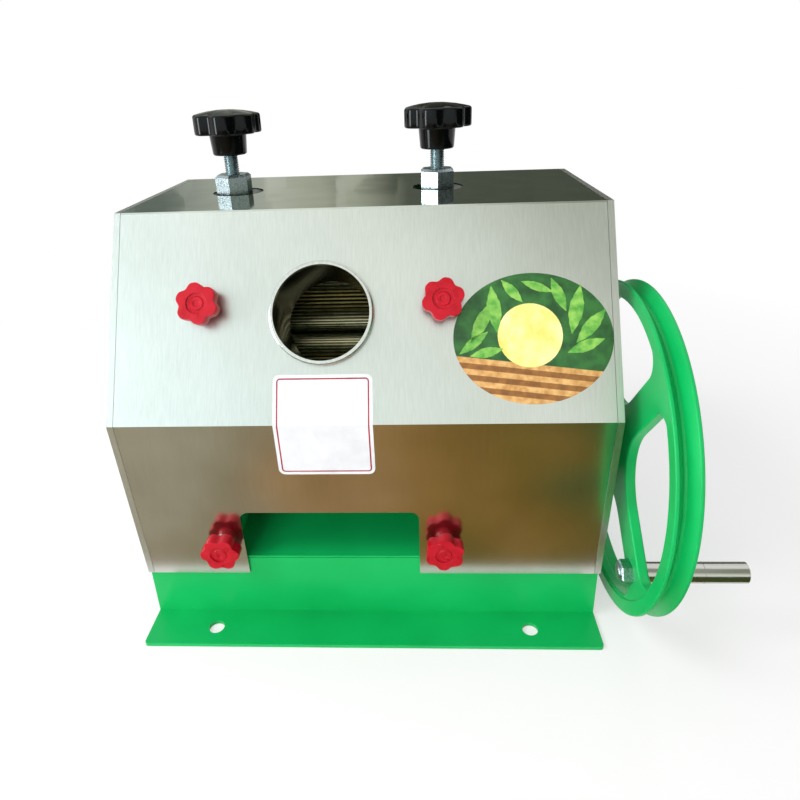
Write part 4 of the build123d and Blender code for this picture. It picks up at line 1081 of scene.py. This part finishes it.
# table in front, which the lower panel shows: grey on the left, warm wood, green on the right
def makeTableCard():
    k = {
        "size": (2.6, 1.72),
        "place": (0, -1.05, 3 * mm),
        "turn": (0, 0, 0),
        "colour": "#8F8370",
        "blotchScale": 16.0,
        "blotchShift": 0.03,
        "span": (-0.091, 0.082),
        "stops": [
            (0.0, "#A9A28C"), (0.2, "#978B70"), (0.43, "#A98A62"), (0.65, "#94733F"), (0.85, "#7A642C"),
            (1.0, "#4A5630"),
        ],
    }
    tree, glow, spot = makeCard("tableCard", k)
    settings = {"Scale": k["blotchScale"], "Detail": 1.0}
    blotches = addNode(tree, "ShaderNodeTexNoise", settings, {"Vector": spot}).outputs["Fac"]
    uneven = rangeOf(tree, blotches, -k["blotchShift"], k["blotchShift"])
    paintCard(tree, glow, shifted(tree, uneven, 1.0, along(tree, spot, "X")), k)


# ceiling wash: cooler and brighter on the left, warm grey towards the top right
def makeWashCard():
    k = {
        "size": (4.5, 2.6),
        "place": (0.2, -1.38, 1.245),
        "turn": (52, 0, 0),
        "colour": "#C8C8C4",
        "strength": 1.4,
        "slant": 0.5,
        "span": (-0.29, 0.13),
        "stops": [(0.0, "#D8EBEB"), (0.25, "#DBE7E4"), (0.5, "#DCE2DB"), (0.8, "#D0D5CC"), (1.0, "#8E9285")],
    }
    tree, glow, spot = makeCard("washCard", k)
    paintCard(tree, glow, shifted(tree, along(tree, spot, "Y"), k["slant"], along(tree, spot, "X")), k)


def makeLight(name, k):
    bpy.ops.object.light_add(type="AREA", location=k["place"])
    lamp = bpy.context.object
    lamp.name = name
    lamp.data.energy = k["power"]
    lamp.data.size = k["size"]
    lamp.data.color = linear(k["colour"])[:3]
    towards = Vector(k["target"]) - Vector(k["place"])
    lamp.rotation_euler = towards.to_track_quat("-Z", "Y").to_euler()
    lamp.visible_glossy = False


def makeWorld():
    world = bpy.data.worlds.new("studioWorld")
    bpy.context.scene.world = world
    world.use_nodes = True
    tree = world.node_tree
    tree.nodes.clear()
    lit = addNode(tree, "ShaderNodeBackground", {"Color": (1, 1, 1, 1), "Strength": studio["worldLight"]})
    white = addNode(tree, "ShaderNodeBackground", {"Color": (1, 1, 1, 1), "Strength": 1.0})
    links = {0: backgroundRays(tree), 1: lit.outputs[0], 2: white.outputs[0]}
    mix = addNode(tree, "ShaderNodeMixShader", links=links)
    addNode(tree, "ShaderNodeOutputWorld", links={"Surface": mix.outputs[0]})


makeFloor()
makeWorld()
for name, lamp in lamps.items():
    makeLight(name, lamp)
makeWallCard()
makeTableCard()
makeWashCard()
# dim side of the room on the right, which gives the round metal its dark flank
sideCard = {"size": (2.2, 1.3), "place": (1.5, -0.2, 0.7), "turn": (90, 0, 90), "colour": "#2A2E2C"}
makeCard("sideCard", sideCard)
# bright window low on the left: the crisp upright highlight on knobs, screws and tube
windowCard = {
    "size": (0.35, 0.9),
    "place": (-1.25, -0.75, 0.5),
    "turn": (90, 0, -59),
    "colour": "#F6FBFF",
    "strength": 14.0,
}
makeCard("windowCard", windowCard)
print("studio made")

# camera, from the photograph's perspective
camera = {
    "place": (0.0438, -0.5463, 0.4185),
    "turn": (66.947, 1.951, 2.311),
    "lens": 28.215,
    "shiftX": 0.01375,
    "shiftY": -0.07125,
}
bpy.ops.object.camera_add(location=camera["place"], rotation=[radians(a) for a in camera["turn"]])
photoCamera = bpy.context.object
photoCamera.data.lens = camera["lens"]
photoCamera.data.sensor_width = 36
photoCamera.data.shift_x = camera["shiftX"]
photoCamera.data.shift_y = camera["shiftY"]
photoCamera.data.clip_start = 0.01
bpy.context.scene.camera = photoCamera
bpy.context.scene.view_settings.view_transform = "Standard"
